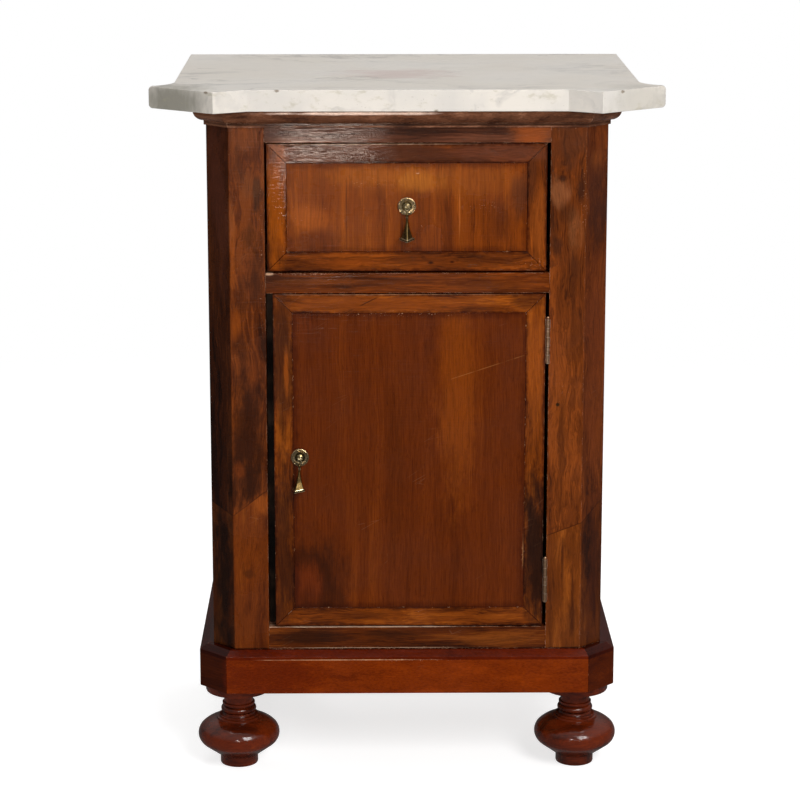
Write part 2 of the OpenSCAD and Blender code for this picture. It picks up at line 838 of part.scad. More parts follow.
// The drawer's bottom, or the groove for it when gap is given.
module drawer_floor(gap = 0) {
    left = drawer_left + drawer_side_t - bottom_in;
    right = drawer_right - drawer_side_t + bottom_in;
    block([left - gap, drawer_inner_y - bottom_in - gap, bottom_z - gap],
          [right + gap, drawer_recess + drawer_len + cut * gap, bottom_z + drawer_bottom_t + gap]);
}

module drawer_bottom() { color(inner_wood) placed() drawer_floor(); }

// The back stands on the bottom, between and through the tails of the sides.
module drawer_back() {
    rear = drawer_recess + drawer_len;
    color(inner_wood)
        placed()
            difference() {
                block([drawer_left, rear - drawer_side_t, bottom_z + drawer_bottom_t + fit_gap],
                      [drawer_right, rear, side_z + drawer_side_h]);
                drawer_sockets(rear - drawer_side_t, drawer_side_t);
            }
}

// ---------------------------------------------------------------- door

module door_board() {
    color(walnut)
        placed()
            difference() {
                bordered_board(door_left, door_right, door_low, door_high, door_recess);
                door_screws(fit_gap);
                at_door_pull() pull_hole();
            }
}

module door_border() {
    color(walnut)
        placed()
            border_strips(door_left, door_right, door_low, door_high, door_recess);
}

// ---------------------------------------------------------------- hinges

// Barrel pieces of a hinge: first is the lowest knuckle, and every second one belongs to a leaf.
module knuckle_row(z, first) {
    for (k = [first : 2 : knuckles - 1])
        translate([axis_x, axis_y, z - hinge_len / 2 + k * knuckle_len + knuckle_gap / 2])
            cylinder(r = barrel_r, h = knuckle_len - knuckle_gap);
}

// A leaf on the face at x0, joined to its knuckles by tabs.
module leaf(z, x0, first) {
    difference() {
        union() {
            block([x0, leaf_start, z - hinge_len / 2], [x0 + leaf_t, leaf_w, z + hinge_len / 2]);
            knuckle_row(z, first);
            for (k = [first : 2 : knuckles - 1]) {
                low = z - hinge_len / 2 + k * knuckle_len + knuckle_gap / 2;
                block([x0, axis_y, low],
                      [x0 + leaf_t, leaf_start + cut, low + knuckle_len - knuckle_gap]);
            }
        }
        translate([axis_x, axis_y, z - hinge_len])
            cylinder(r = hinge_pin_r + pivot_gap, h = 2 * hinge_len);
    }
}

module case_leaf(z) {
    color(brass)
        placed()
            difference() {
                leaf(z, opening_half, 0);
                case_screws(fit_gap);
            }
}

module door_leaf(z) {
    color(brass)
        placed()
            difference() {
                leaf(z, door_right, 1);
                door_screws(fit_gap);
            }
}

module hinge_lower_case_leaf() case_leaf(hinge_zs[0]);
module hinge_upper_case_leaf() case_leaf(hinge_zs[1]);
module hinge_lower_door_leaf() door_leaf(hinge_zs[0]);
module hinge_upper_door_leaf() door_leaf(hinge_zs[1]);

// The pin runs through all five knuckles and hangs by its round head.
module hinge_pin(z) {
    color(brass)
        placed()
            translate([axis_x, axis_y, z - hinge_len / 2]) {
                cylinder(r = hinge_pin_r, h = hinge_len + pin_head_r);
                translate([0, 0, hinge_len - knuckle_gap / 2])
                    cylinder(r = pin_head_r - pin_collar_in, h = pin_head_r);
                translate([0, 0, hinge_len + pin_head_r]) sphere(pin_head_r);
            }
}

module hinge_lower_pin() hinge_pin(hinge_zs[0]);
module hinge_upper_pin() hinge_pin(hinge_zs[1]);

// Screws of the leaves on the face at x0, driven along dir, or their holes when gap is given.
module leaf_screws(x0, dir, gap) {
    for (z = hinge_zs, k = [-1 : 1])
        translate([x0, screw_y, z + k * screw_pitch])
            rotate([0, 90 * dir, 0]) {
                cylinder(r = screw_r + gap, h = screw_len + gap);
                cylinder(r1 = screw_head_r + gap, r2 = screw_r + gap, h = leaf_t);
            }
}

module case_screws(gap = 0) leaf_screws(opening_half, 1, gap);
module door_screws(gap = 0) leaf_screws(door_right + leaf_t, -1, gap);

module hinge_case_screws() { color(brass) placed() case_screws(); }
module hinge_door_screws() { color(brass) placed() door_screws(); }

// ---------------------------------------------------------------- drop pulls

// Both pulls are drawn with the face that they stand on at y = 0, and are set on their fronts by
// these. The drawer's stands on the field, the door's on the edge of the border.
module at_drawer_pull() {
    translate([(drawer_left + drawer_right) / 2, drawer_recess + border_proud,
               (front_bottom + front_top) / 2 + drawer_pull_up])
        children();
}

module at_door_pull() {
    translate([door_left + door_pull_in, door_recess, (door_low + door_high) / 2 + door_pull_up])
        rotate([0, door_pull_lean, 0])
            children();
}

// Turns a shape that stands on the XY plane so that it stands out from the wood.
module outwards() rotate([90, 0, 0]) children();

module pull_hole() translate([0, front_t, 0]) outwards() cylinder(r = shank_r + fit_gap, h = 2 * front_t);

// The rosette is turned: a rolled rim, a ring that slopes inwards, and a flat well for the post.
module rosette() {
    rim_r = rosette_rim / 2;
    rim_h = rosette_h - rim_r;
    outwards()
        rotate_extrude() {
            polygon([
                [shank_r + fit_gap, 0], [rosette_r, 0], [rosette_r, rim_h],
                [rosette_r - rosette_rim, rim_h], [rosette_well_r, rosette_ring_low],
                [rosette_well_r, rosette_floor], [shank_r + fit_gap, rosette_floor]
            ]);
            translate([rosette_r - rim_r, rim_h]) circle(rim_r);
        }
}

// The post is a bolt through the wood, with a domed boss that bears on the rosette and an outer
// end flattened to an eye.
module pull_post(wood) {
    difference() {
        union() {
            translate([0, wood + nut_t + shank_r / 2, 0])
                outwards()
                    cylinder(r = shank_r, h = wood + nut_t + pivot_out - eye_r / 2);
            outwards()
                translate([0, 0, rosette_floor])
                    intersection() {
                        cylinder(r = boss_r, h = boss_h);
                        translate([0, 0, boss_h - rosette_floor - dome_r]) sphere(dome_r);
                    }
            translate([-eye_t / 2, -pivot_out, 0])
                rotate([0, 90, 0]) cylinder(r = eye_r, h = eye_t);
        }
        translate([-cut - eye_t, -pivot_out, 0])
            rotate([0, 90, 0]) cylinder(r = pivot_r + pivot_gap, h = 2 * (eye_t + cut));
        for (s = [-1, 1])
            translate([s * (eye_t / 2 + eye_r), -pivot_out, 0])
                cube(2 * eye_r, center = true);
    }
}

module pull_nut(wood) {
    difference() {
        block([-nut_w / 2, wood, -nut_w / 2], [nut_w / 2, wood + nut_t, nut_w / 2]);
        translate([0, wood + nut_t + cut, 0])
            outwards() cylinder(r = shank_r + fit_gap, h = nut_t + 2 * cut);
    }
}

// Side view of the drop's flare, whose two sides are hollow arcs.
module flare_view() {
    head = [flare_top, 0];
    foot = [drop_half - drop_ledge, -drop_flare - drop_dip];
    chord = foot - head;
    side_r = (chord * chord / 4 + drop_hollow * drop_hollow) / (2 * drop_hollow);
    normal = [-chord[1], chord[0]] / norm(chord);
    centre = (head + foot) / 2 + normal * (side_r - drop_hollow);
    difference() {
        square_from([-foot[0], foot[1]], [foot[0], 0]);
        translate(centre) circle(side_r, $fn = 200);
        translate([-centre[0], centre[1]]) circle(side_r, $fn = 200);
    }
}

// Everything between two heights that dips towards the front and the back corner like a roof.
module dipping(low, high) {
    reach = drop_half * sqrt(2);
    rotate([90, 0, 90])
        linear_extrude(4 * drop_half, center = true)
            polygon([
                [-reach, low - drop_dip], [0, low], [reach, low - drop_dip],
                [reach, high - drop_dip], [0, high], [-reach, high - drop_dip]
            ]);
}

// The body is square in plan with an edge to the front: one view cut through the other. A lip
// follows its foot, which dips to the front.
module drop_body() {
    intersection() {
        rotate([0, 0, 45])
            intersection() {
                rotate([90, 0, 0]) linear_extrude(4 * drop_half, center = true) flare_view();
                rotate([90, 0, 90]) linear_extrude(4 * drop_half, center = true) flare_view();
            }
        dipping(-drop_flare, drop_dip + cut);
    }
    intersection() {
        rotate([0, 0, 45]) cube([2 * drop_half, 2 * drop_half, 4 * drop_flare], center = true);
        dipping(-drop_flare - drop_lip, -drop_flare);
    }
}

// The drop hangs from a pivot that runs through the eye between its two cheeks.
module drop(turn = 0) {
    translate([0, -pivot_out, 0]) {
        rotate([0, 90, 0]) cylinder(r = pivot_r, h = 2 * clevis_half, center = true);
        for (s = [-1, 1])
            translate([s * (cheek_x + cheek_t / 2), 0, 0]) {
                rotate([0, 90, 0]) cylinder(r = cheek_r, h = cheek_t, center = true);
                block([-cheek_t / 2, -cheek_half, neck_z], [cheek_t / 2, cheek_half, 0]);
            }
        block([-clevis_half, -cheek_half, neck_z], [clevis_half, cheek_half, bridge_z]);
        translate([0, 0, neck_z - drop_neck]) cylinder(r = drop_neck_r, h = drop_neck + bridge_t / 2);
        translate([0, 0, neck_z - drop_neck / 2]) sphere(drop_ball_r);
        translate([0, 0, neck_z - drop_neck + flare_into_neck]) rotate([0, 0, -turn]) drop_body();
    }
}

module drawer_pull_rosette() { color(brass) placed() at_drawer_pull() rosette(); }
module drawer_pull_post() { color(brass) placed() at_drawer_pull() pull_post(front_t - border_proud); }
module drawer_pull_nut() { color(brass) placed() at_drawer_pull() pull_nut(front_t - border_proud); }
module drawer_drop() { color(brass) placed() at_drawer_pull() drop(); }
module door_pull_rosette() { color(brass) placed() at_door_pull() rosette(); }
module door_pull_post() { color(brass) placed() at_door_pull() pull_post(front_t); }
module door_pull_nut() { color(brass) placed() at_door_pull() pull_nut(front_t); }
module door_drop() { color(brass) placed() at_door_pull() drop(door_drop_turn); }

// ---------------------------------------------------------------- the parts

marble_top();
top_moulding_front();
top_moulding_left_cant();
top_moulding_right_cant();
top_moulding_left_side();
top_moulding_right_side();
front_post_left();
front_post_right();
side_panel_left();
side_panel_right();
top_rail();
drawer_rail();
bottom_rail();
rear_top_rail();
back_panel();
cupboard_floor();
dust_board();
drawer_runner_left();
drawer_runner_right();
drawer_guide_left();
drawer_guide_right();
drawer_kicker_left();
drawer_kicker_right();
drawer_stops();
door_stop();
plinth_front();
plinth_left_cant();
plinth_right_cant();
plinth_left_side();
plinth_right_side();
plinth_back();
foot_blocks();
foot_front_left();
foot_front_right();
foot_rear_left();
foot_rear_right();
drawer_front();
drawer_border();
drawer_side_left();
drawer_side_right();
drawer_back();
drawer_bottom();
drawer_pull_rosette();
drawer_pull_post();
drawer_pull_nut();
drawer_drop();
door_board();
door_border();
door_pull_rosette();
door_pull_post();
door_pull_nut();
door_drop();
hinge_upper_case_leaf();
hinge_lower_case_leaf();
hinge_upper_door_leaf();
hinge_lower_door_leaf();
hinge_upper_pin();
hinge_lower_pin();
hinge_case_screws();
hinge_door_screws();
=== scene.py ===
import json
import math

import bmesh
import bpy
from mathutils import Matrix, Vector

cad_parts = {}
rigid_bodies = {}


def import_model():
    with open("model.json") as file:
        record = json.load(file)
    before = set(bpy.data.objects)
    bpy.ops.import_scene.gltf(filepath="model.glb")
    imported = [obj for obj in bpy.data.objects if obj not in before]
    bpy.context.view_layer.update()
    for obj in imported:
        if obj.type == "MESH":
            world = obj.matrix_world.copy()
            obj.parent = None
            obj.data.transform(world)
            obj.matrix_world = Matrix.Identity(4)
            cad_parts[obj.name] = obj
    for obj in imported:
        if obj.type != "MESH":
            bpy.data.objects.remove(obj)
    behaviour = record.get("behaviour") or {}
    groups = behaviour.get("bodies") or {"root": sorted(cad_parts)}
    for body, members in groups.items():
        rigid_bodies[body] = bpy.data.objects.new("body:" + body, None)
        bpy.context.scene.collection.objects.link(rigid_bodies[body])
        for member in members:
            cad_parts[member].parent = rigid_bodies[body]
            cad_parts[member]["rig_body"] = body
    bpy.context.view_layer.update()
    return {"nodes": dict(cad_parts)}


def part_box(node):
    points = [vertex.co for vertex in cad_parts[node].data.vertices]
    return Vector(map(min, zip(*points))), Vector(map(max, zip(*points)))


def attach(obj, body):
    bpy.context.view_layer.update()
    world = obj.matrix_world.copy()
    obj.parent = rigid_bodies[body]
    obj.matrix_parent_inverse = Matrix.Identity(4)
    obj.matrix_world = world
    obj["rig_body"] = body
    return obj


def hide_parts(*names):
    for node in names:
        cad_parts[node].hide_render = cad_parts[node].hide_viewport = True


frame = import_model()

# ----------------------
# Corner posts: two upright stiles with a canted outer corner, veneered with walnut. Each veneer
# is pieced from two upright leaves that meet on a slanting joint low down, glued and polished.


def tone(red, green, blue):
    """A colour as it is seen, 0 to 255, made linear for a shader."""
    return tuple(((c / 255) / 12.92 if c <= 10 else ((c / 255 + 0.055) / 1.055) ** 2.4)
                 for c in (red, green, blue)) + (1.0,)


def feed(tree, node, inputs):
    """Links each named input to the socket that it is given, or sets it to the value."""
    for name, value in inputs.items():
        socket = node.inputs[name]
        if isinstance(value, bpy.types.NodeSocket):
            tree.links.new(value, socket)
        else:
            socket.default_value = value


def put(tree, kind, inputs=None, **fields):
    """Adds a shader node, sets its fields, and feeds its sockets with values or other sockets."""
    node = tree.nodes.new("ShaderNode" + kind)
    for field, value in fields.items():
        setattr(node, field, value)
    feed(tree, node, inputs or {})
    return node


def calc(tree, operation, *values):
    """A sum with numbers."""
    return put(tree, "Math", dict(enumerate(values)), operation=operation).outputs[0]


def plus(tree, first, second):
    return calc(tree, "ADD", first, second)


def minus(tree, first, second):
    return calc(tree, "SUBTRACT", first, second)


def times(tree, first, second):
    return calc(tree, "MULTIPLY", first, second)


def vector(tree, operation, *values):
    """A sum with places, directions or sizes along X, Y and Z."""
    node = put(tree, "VectorMath", dict(enumerate(values)), operation=operation)
    return node.outputs["Value" if operation in ("LENGTH", "DOT_PRODUCT") else "Vector"]


def axes(tree, place):
    return put(tree, "SeparateXYZ", {0: place}).outputs


def joined(tree, x, y, z):
    return put(tree, "CombineXYZ", {0: x, 1: y, 2: z}).outputs[0]


def fade(tree, value, low, high, start=0.0, end=1.0):
    """A value taken smoothly from start to end while it rises from low to high."""
    return put(tree, "MapRange", {"Value": value, "From Min": low, "From Max": high,
                                  "To Min": start, "To Max": end},
               interpolation_type="SMOOTHSTEP").outputs["Result"]


def blend(tree, mask, first, second, blend_type="MIX"):
    """The first colour where the mask is 0, going over to the second where it is 1."""
    return put(tree, "Mix", {0: mask, 6: first, 7: second}, data_type="RGBA",
               blend_type=blend_type).outputs[2]


def tinted(tree, colour, tint):
    return blend(tree, 1.0, colour, tint, "MULTIPLY")


def noise(tree, place, scale, detail=2.0, roughness=0.5, output="Fac"):
    """A cloudy value from 0 to 1, as fine as its scale, or as its scales along X, Y and Z."""
    if isinstance(scale, tuple):
        place = vector(tree, "MULTIPLY", place, scale)
        scale = 1.0
    return put(tree, "TexNoise", {"Vector": place, "Scale": scale, "Detail": detail,
                                  "Roughness": roughness}).outputs[output]


def effect(name, inputs, outputs):
    """A shader node group: inputs are name and default, outputs are name and kind."""
    group = bpy.data.node_groups.new(name, "ShaderNodeTree")
    for label, value in inputs.items():
        kind = "Float"
        if isinstance(value, tuple):
            kind = "Color" if len(value) == 4 else "Vector"
        socket = group.interface.new_socket(label, in_out="INPUT", socket_type="NodeSocket" + kind)
        socket.default_value = value
    for label, kind in outputs.items():
        group.interface.new_socket(label, in_out="OUTPUT", socket_type="NodeSocket" + kind)
    return group, group.nodes.new("NodeGroupInput").outputs, group.nodes.new("NodeGroupOutput")


def use(tree, group, inputs):
    """Places a node group in a material or another group, and gives its outputs."""
    node = tree.nodes.new("ShaderNodeGroup")
    node.node_tree = group
    feed(tree, node, inputs)
    return node.outputs


# grain: figure along Z of the vector that it is given, from soft clouds down to lines and fibre
grain, given, out = effect(
    "wood_grain",
    {"Vector": (0, 0, 0), "Streak width": 0.012, "Streak length": 0.16, "Wander": 0.006,
     "Dark": (0.05, 0.02, 0.01, 1.0), "Middle": (0.2, 0.07, 0.02, 1.0),
     "Light": (0.35, 0.14, 0.04, 1.0), "Contrast": 0.5, "Balance": 0.5, "Lines": 0.2},
    {"Colour": "Color", "Shade": "Color", "Height": "Float"})
tree = grain
slow = noise(tree, given["Vector"], (9, 9, 4), output="Color")
curl = noise(tree, given["Vector"], (60, 60, 22), output="Color")
ripple = vector(tree, "MULTIPLY", vector(tree, "SUBTRACT", curl, (0.5, 0.5, 0.5)), (0.28, 0.28, 0.28))
wobble = vector(tree, "ADD", vector(tree, "SUBTRACT", slow, (0.5, 0.5, 0.5)), ripple)
triple = times(tree, given["Wander"], 3.0)
reach = joined(tree, triple, triple, triple)
bent = vector(tree, "ADD", given["Vector"], vector(tree, "MULTIPLY", wobble, reach))
across = calc(tree, "DIVIDE", 1.0, given["Streak width"])
along = calc(tree, "DIVIDE", 1.0, given["Streak length"])
place = vector(tree, "MULTIPLY", bent, joined(tree, across, across, along))
cloud = noise(tree, place, 0.45, 2.0, 0.5)
streak = noise(tree, vector(tree, "ADD", place, (7.1, 0.0, 3.3)), 1.3, 3.0, 0.6)
thin = noise(tree, place, (6.0, 6.0, 1.3), 3.0, 0.65)
figure = plus(tree, times(tree, cloud, 0.62), times(tree, streak, 0.38))
figure = plus(tree, figure, times(tree, minus(tree, thin, 0.5), given["Lines"]))
half = times(tree, given["Contrast"], 0.5)
middle = minus(tree, 1.0, given["Balance"])
depth = put(tree, "MapRange", {"Value": figure, "From Min": minus(tree, middle, half),
                               "From Max": plus(tree, middle, half)}).outputs["Result"]
fibre = noise(tree, bent, (900, 900, 22), 3.0, 0.6)
pores = fade(tree, noise(tree, bent, (1500, 1500, 95), 1.0), 0.62, 0.72)
low = blend(tree, fade(tree, depth, 0.0, 0.5), given["Dark"], given["Middle"])
colour = blend(tree, fade(tree, depth, 0.5, 1.0), low, given["Light"])
shade = times(tree, fade(tree, fibre, 0.25, 0.75, 0.78, 1.2), fade(tree, pores, 0.0, 1.0, 1.0, 0.72))
lined = put(tree, "CombineColor", {0: shade, 1: shade, 2: shade}).outputs[0]
feed(tree, out, {"Colour": tinted(tree, colour, lined), "Shade": lined,
                 "Height": minus(tree, times(tree, fibre, 0.3), pores)})

# old polish: a film that has gone uneven, with fine scratches, so that its gloss changes
old_polish, given, out = effect(
    "old_polish", {"Vector": (0, 0, 0), "Smooth": 0.24, "Dull": 0.5, "Ripples": 2.0},
    {"Roughness": "Float", "Height": "Float", "Scuffs": "Float"})
tree = old_polish
haze = noise(tree, given["Vector"], 16.0, 3.0)
rub = noise(tree, given["Vector"], (140, 140, 220), 3.0)
aslant = put(tree, "VectorRotate", {"Vector": given["Vector"], "Angle": 0.5}, rotation_type="Y_AXIS")
long = vector(tree, "MULTIPLY", aslant.outputs[0], (14, 14, 90))
scratch = put(tree, "TexVoronoi", {"Vector": long, "Scale": 1.0},
              feature="DISTANCE_TO_EDGE").outputs["Distance"]
rare = fade(tree, noise(tree, given["Vector"], 31.0, 2.0), 0.62, 0.7)
line = times(tree, fade(tree, scratch, 0.0, 0.016, 1.0, 0.0), rare)
spread = times(tree, fade(tree, haze, 0.35, 0.68), minus(tree, given["Dull"], given["Smooth"]))
rough = plus(tree, plus(tree, given["Smooth"], spread), times(tree, minus(tree, rub, 0.5), 0.08))
ripples = noise(tree, given["Vector"], (22, 60, 460), 2.0, 0.6)
feed(tree, out, {"Roughness": rough, "Scuffs": line,
                 "Height": minus(tree, times(tree, ripples, given["Ripples"]),
                                 times(tree, line, 0.3))})

# worn edges: a mask that is bright where an arris sticks out and has been rubbed
worn_edges, given, out = effect("worn_edges", {"Vector": (0, 0, 0), "Amount": 0.5},
                                {"Mask": "Float"})
tree = worn_edges
rounded = put(tree, "Bevel", {"Radius": 0.0009}, samples=6).outputs["Normal"]
flat = put(tree, "NewGeometry").outputs["Normal"]
lean = vector(tree, "DOT_PRODUCT", rounded, flat)
patchy = noise(tree, given["Vector"], (140, 140, 140), 4.0, 0.7)
floor_level = minus(tree, 0.72, times(tree, given["Amount"], 0.4))
feed(tree, out, {"Mask": times(tree, fade(tree, lean, 0.985, 0.9, 0.0, 1.0),
                               fade(tree, minus(tree, patchy, floor_level), 0.0, 0.08))})

# a soft ragged patch round a place on the piece
patch, given, out = effect(
    "patch", {"Vector": (0, 0, 0), "Centre": (0, 0, 0), "Half size": (0.05, 0.05, 0.05),
              "Ragged": 0.35, "Grain": (120, 120, 40)}, {"Mask": "Float"})
tree = patch
from_middle = vector(tree, "DIVIDE", vector(tree, "SUBTRACT", given["Vector"], given["Centre"]),
                     given["Half size"])
torn = noise(tree, vector(tree, "MULTIPLY", given["Vector"], given["Grain"]), 1.0, 4.0, 0.62)
ragged = times(tree, minus(tree, torn, 0.5), given["Ragged"])
far = plus(tree, vector(tree, "LENGTH", from_middle), times(tree, ragged, 3.0))
feed(tree, out, {"Mask": fade(tree, far, 1.25, 0.35)})


def spotted(tree, place, centre, half_size, ragged, run=(120, 120, 40)):
    """The mask of one patch; its ragged outline runs along the grain."""
    return use(tree, patch, {"Vector": place, "Centre": centre, "Half size": half_size,
                             "Ragged": ragged, "Grain": run})["Mask"]


# chips: pale flecks and short scratches, one or two millimetres long, within a box round a place;
# along some arrises they are painted glints
chips_and_glints, given, out = effect(
    "chips_and_glints", {"Vector": (0, 0, 0), "Centre": (0, 0, 0), "Half size": (0.05, 0.05, 0.05),
              "Amount": 0.5}, {"Mask": "Float"})
tree = chips_and_glints
window = spotted(tree, given["Vector"], given["Centre"], given["Half size"], 0.5)
fleck = noise(tree, given["Vector"], (420, 420, 1100), 2.0)
few = minus(tree, 0.8, times(tree, given["Amount"], 0.15))
feed(tree, out, {"Mask": times(tree, window, fade(tree, minus(tree, fleck, few), 0.0, 0.04))})


def new_material(name):
    """A material, its tree, its shader and the place on the object."""
    material = bpy.data.materials.new(name)
    material.use_nodes = True
    tree = material.node_tree
    return material, tree, tree.nodes["Principled BSDF"], put(tree, "TexCoord").outputs["Object"]


def polished(name, paint, smooth=0.13, dull=0.24, wear=0.4, bare=(176, 120, 74), bump=0.25,
             gloss=0.2, ripples=2.0, film_tint=(0.99, 0.93, 0.66, 1.0), flecks=()):
    """A wooden material: paint(tree, place) gives its colour and height; polish and wear go over, and
    pale flecks: chips in some places, painted glints along some arrises.
    """
    material, tree, shader, place = new_material(name)
    colour, height = paint(tree, place)
    colour = tinted(tree, colour, film_tint)
    film = use(tree, old_polish, {"Vector": place, "Smooth": smooth, "Dull": dull,
                                  "Ripples": ripples})
    edge = use(tree, worn_edges, {"Vector": place, "Amount": wear})["Mask"]
    colour = blend(tree, times(tree, film["Scuffs"], 0.07), colour, tone(200, 150, 110))
    colour = blend(tree, times(tree, edge, 0.8), colour, tone(*bare))
    for centre, half_size, amount in flecks:
        knocks_and_glints = use(tree, chips_and_glints, {"Vector": place, "Centre": centre, "Half size": half_size,
                                   "Amount": amount})["Mask"]
        colour = blend(tree, times(tree, knocks_and_glints, 0.75), colour, tone(196, 150, 116))
    rough = plus(tree, film["Roughness"], times(tree, edge, 0.2))
    relief = plus(tree, times(tree, height, 0.6), film["Height"])
    raised = put(tree, "Bump", {"Height": relief, "Strength": bump, "Distance": 0.0004})
    feed(tree, shader, {"Base Color": colour, "Roughness": rough,
                        "Normal": raised.outputs["Normal"], "Specular IOR Level": gloss})
    return material


def shown(name, data):
    """An object with this data, put in the scene."""
    item = bpy.data.objects.new(name, data)
    bpy.context.scene.collection.objects.link(item)
    return item


def finished(mesh, node, ending, material, smooth_turn):
    """Makes a mesh the piece that takes a CAD node's place; its faces are smooth up to a turn in
    degrees."""
    for face in mesh.faces:
        face.smooth = True
    for edge in mesh.edges:
        edge.smooth = edge.calc_face_angle(0.0) < math.radians(smooth_turn)
    data = bpy.data.meshes.new(node + ending)
    mesh.to_mesh(data)
    mesh.free()
    data.materials.append(material)
    piece = shown(node + ending, data)
    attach(piece, frame["nodes"][node]["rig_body"])
    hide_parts(node)
    return piece


def softened(node, width, material, segments=2, arris=0.0, rubbed=None):
    """A copy of a CAD node with its arrises rounded by a few tenths of a millimetre, and those
    that pass the test rubbed(edge) by more."""
    same_place = 2e-6
    flat_turn = math.radians(0.6)
    sharp_turn = math.radians(24.0)
    mesh = bmesh.new()
    mesh.from_mesh(frame["nodes"][node].data)
    bmesh.ops.remove_doubles(mesh, verts=mesh.verts, dist=same_place)
    bmesh.ops.dissolve_limit(mesh, angle_limit=flat_turn, verts=mesh.verts, edges=mesh.edges)
    if rubbed:
        bmesh.ops.bevel(mesh, geom=[e for e in mesh.edges if rubbed(e)], offset=arris, segments=5,
                        profile=0.5, affect="EDGES", material=-1, clamp_overlap=True)
    sharp = [e for e in mesh.edges if len(e.link_faces) == 2
             and e.calc_face_angle(0.0) > sharp_turn]
    bmesh.ops.bevel(mesh, geom=sharp, offset=width, segments=segments, profile=0.5, affect="EDGES",
                    material=-1, clamp_overlap=True)
    piece = finished(mesh, node, "_dressed", material, 38.0)
    flatten = piece.modifiers.new("flat faces stay flat", "WEIGHTED_NORMAL")
    flatten.keep_sharp = True
    flatten.weight = 100


def marked(tree, place, colour, shade, patches, ragged, run=(120, 120, 40)):
    """The colour with soft patches over it; each is a centre, half size, seen colour and strength."""
    for centre, half_size, seen, strength in patches:
        spot = spotted(tree, place, centre, half_size, ragged, run)
        lined = tinted(tree, tone(*seen), shade)
        colour = blend(tree, times(tree, spot, strength), colour, lined)
    return colour


def dark_to_light(*colours, shade=1.0):
    """The dark, middle and light tones of a wood, as it is seen; a shade under 1 darkens all, as
    painted shade.
    """
    return [tuple(c * shade for c in tone(*colour)[:3]) + (1.0,) for colour in colours]


def figured(tree, place, tones, width, length, wander, contrast=0.28, lines=0.2, balance=0.5):
    """Wood in three tones with streaks of a width and length in metres, which wander sideways."""
    dark, middle, light = tones
    return use(tree, grain, {"Vector": place, "Streak width": width, "Streak length": length,
                             "Wander": wander, "Contrast": contrast, "Lines": lines,
                             "Balance": balance, "Dark": dark, "Middle": middle, "Light": light})


face_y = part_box("top_rail")[0].y
# the canted corner starts this far from the middle, and a joint's height is given at joint_x
cant_x = 0.1996
joint_x = 0.1636


def on_face(front, rows, depth=0.05):
    """Patches on a front face that reach a depth behind it: rows of X, Z, half width, half height
    and what else they hold."""
    return [((x, front, z), (half_x, depth, half_z), *rest) for x, z, half_x, half_z, *rest in rows]


def post_paint(outwards, cant, joint_low, joint_rise, joint_turn, upper, lower, patches, seed):
    """Paint for a post: two upright leaves with painted shade on the cant, that meet on a slanting
    joint.
    The joint is joint_low high at joint_x, rises outwards, and turns where the cant starts."""
    def paint(tree, place):
        x, _, z = axes(tree, place)
        out_x = times(tree, x, outwards)
        past = calc(tree, "MAXIMUM", minus(tree, out_x, cant_x - 0.0004), 0.0)
        rise = plus(tree, times(tree, minus(tree, out_x, joint_x), joint_rise),
                    times(tree, past, joint_turn))
        over = minus(tree, z, plus(tree, joint_low, rise))
        shifted = vector(tree, "ADD", place, seed)
        top = figured(tree, shifted, upper, 0.015, 0.1, 0.018, lines=0.5)
        low = figured(tree, vector(tree, "ADD", shifted, (0.3, 0.2, 0.4)), lower, 0.021, 0.14, 0.012,
                      lines=0.25)
        leaves = []
        for leaf, above in ((top, True), (low, False)):
            own = on_face(face_y, [row for row in patches if (row[1] > joint_low) == above])
            leaves.append(marked(tree, place, leaf["Colour"], leaf["Shade"], own, 0.8,
                                 (70, 70, 26)))
        colour = blend(tree, fade(tree, over, 0.0005, -0.0005), *leaves)
        # painted shade: the canted face is darkened by the cant tint
        cant_shaded = tinted(tree, colour, cant)
        colour = blend(tree, fade(tree, out_x, cant_x - 0.0006, cant_x + 0.0006), colour, cant_shaded)
        line = fade(tree, calc(tree, "ABSOLUTE", over), 0.0, 0.0009, 0.7, 0.0)
        colour = blend(tree, line, colour, tone(26, 10, 6))
        return colour, top["Height"]
    return paint


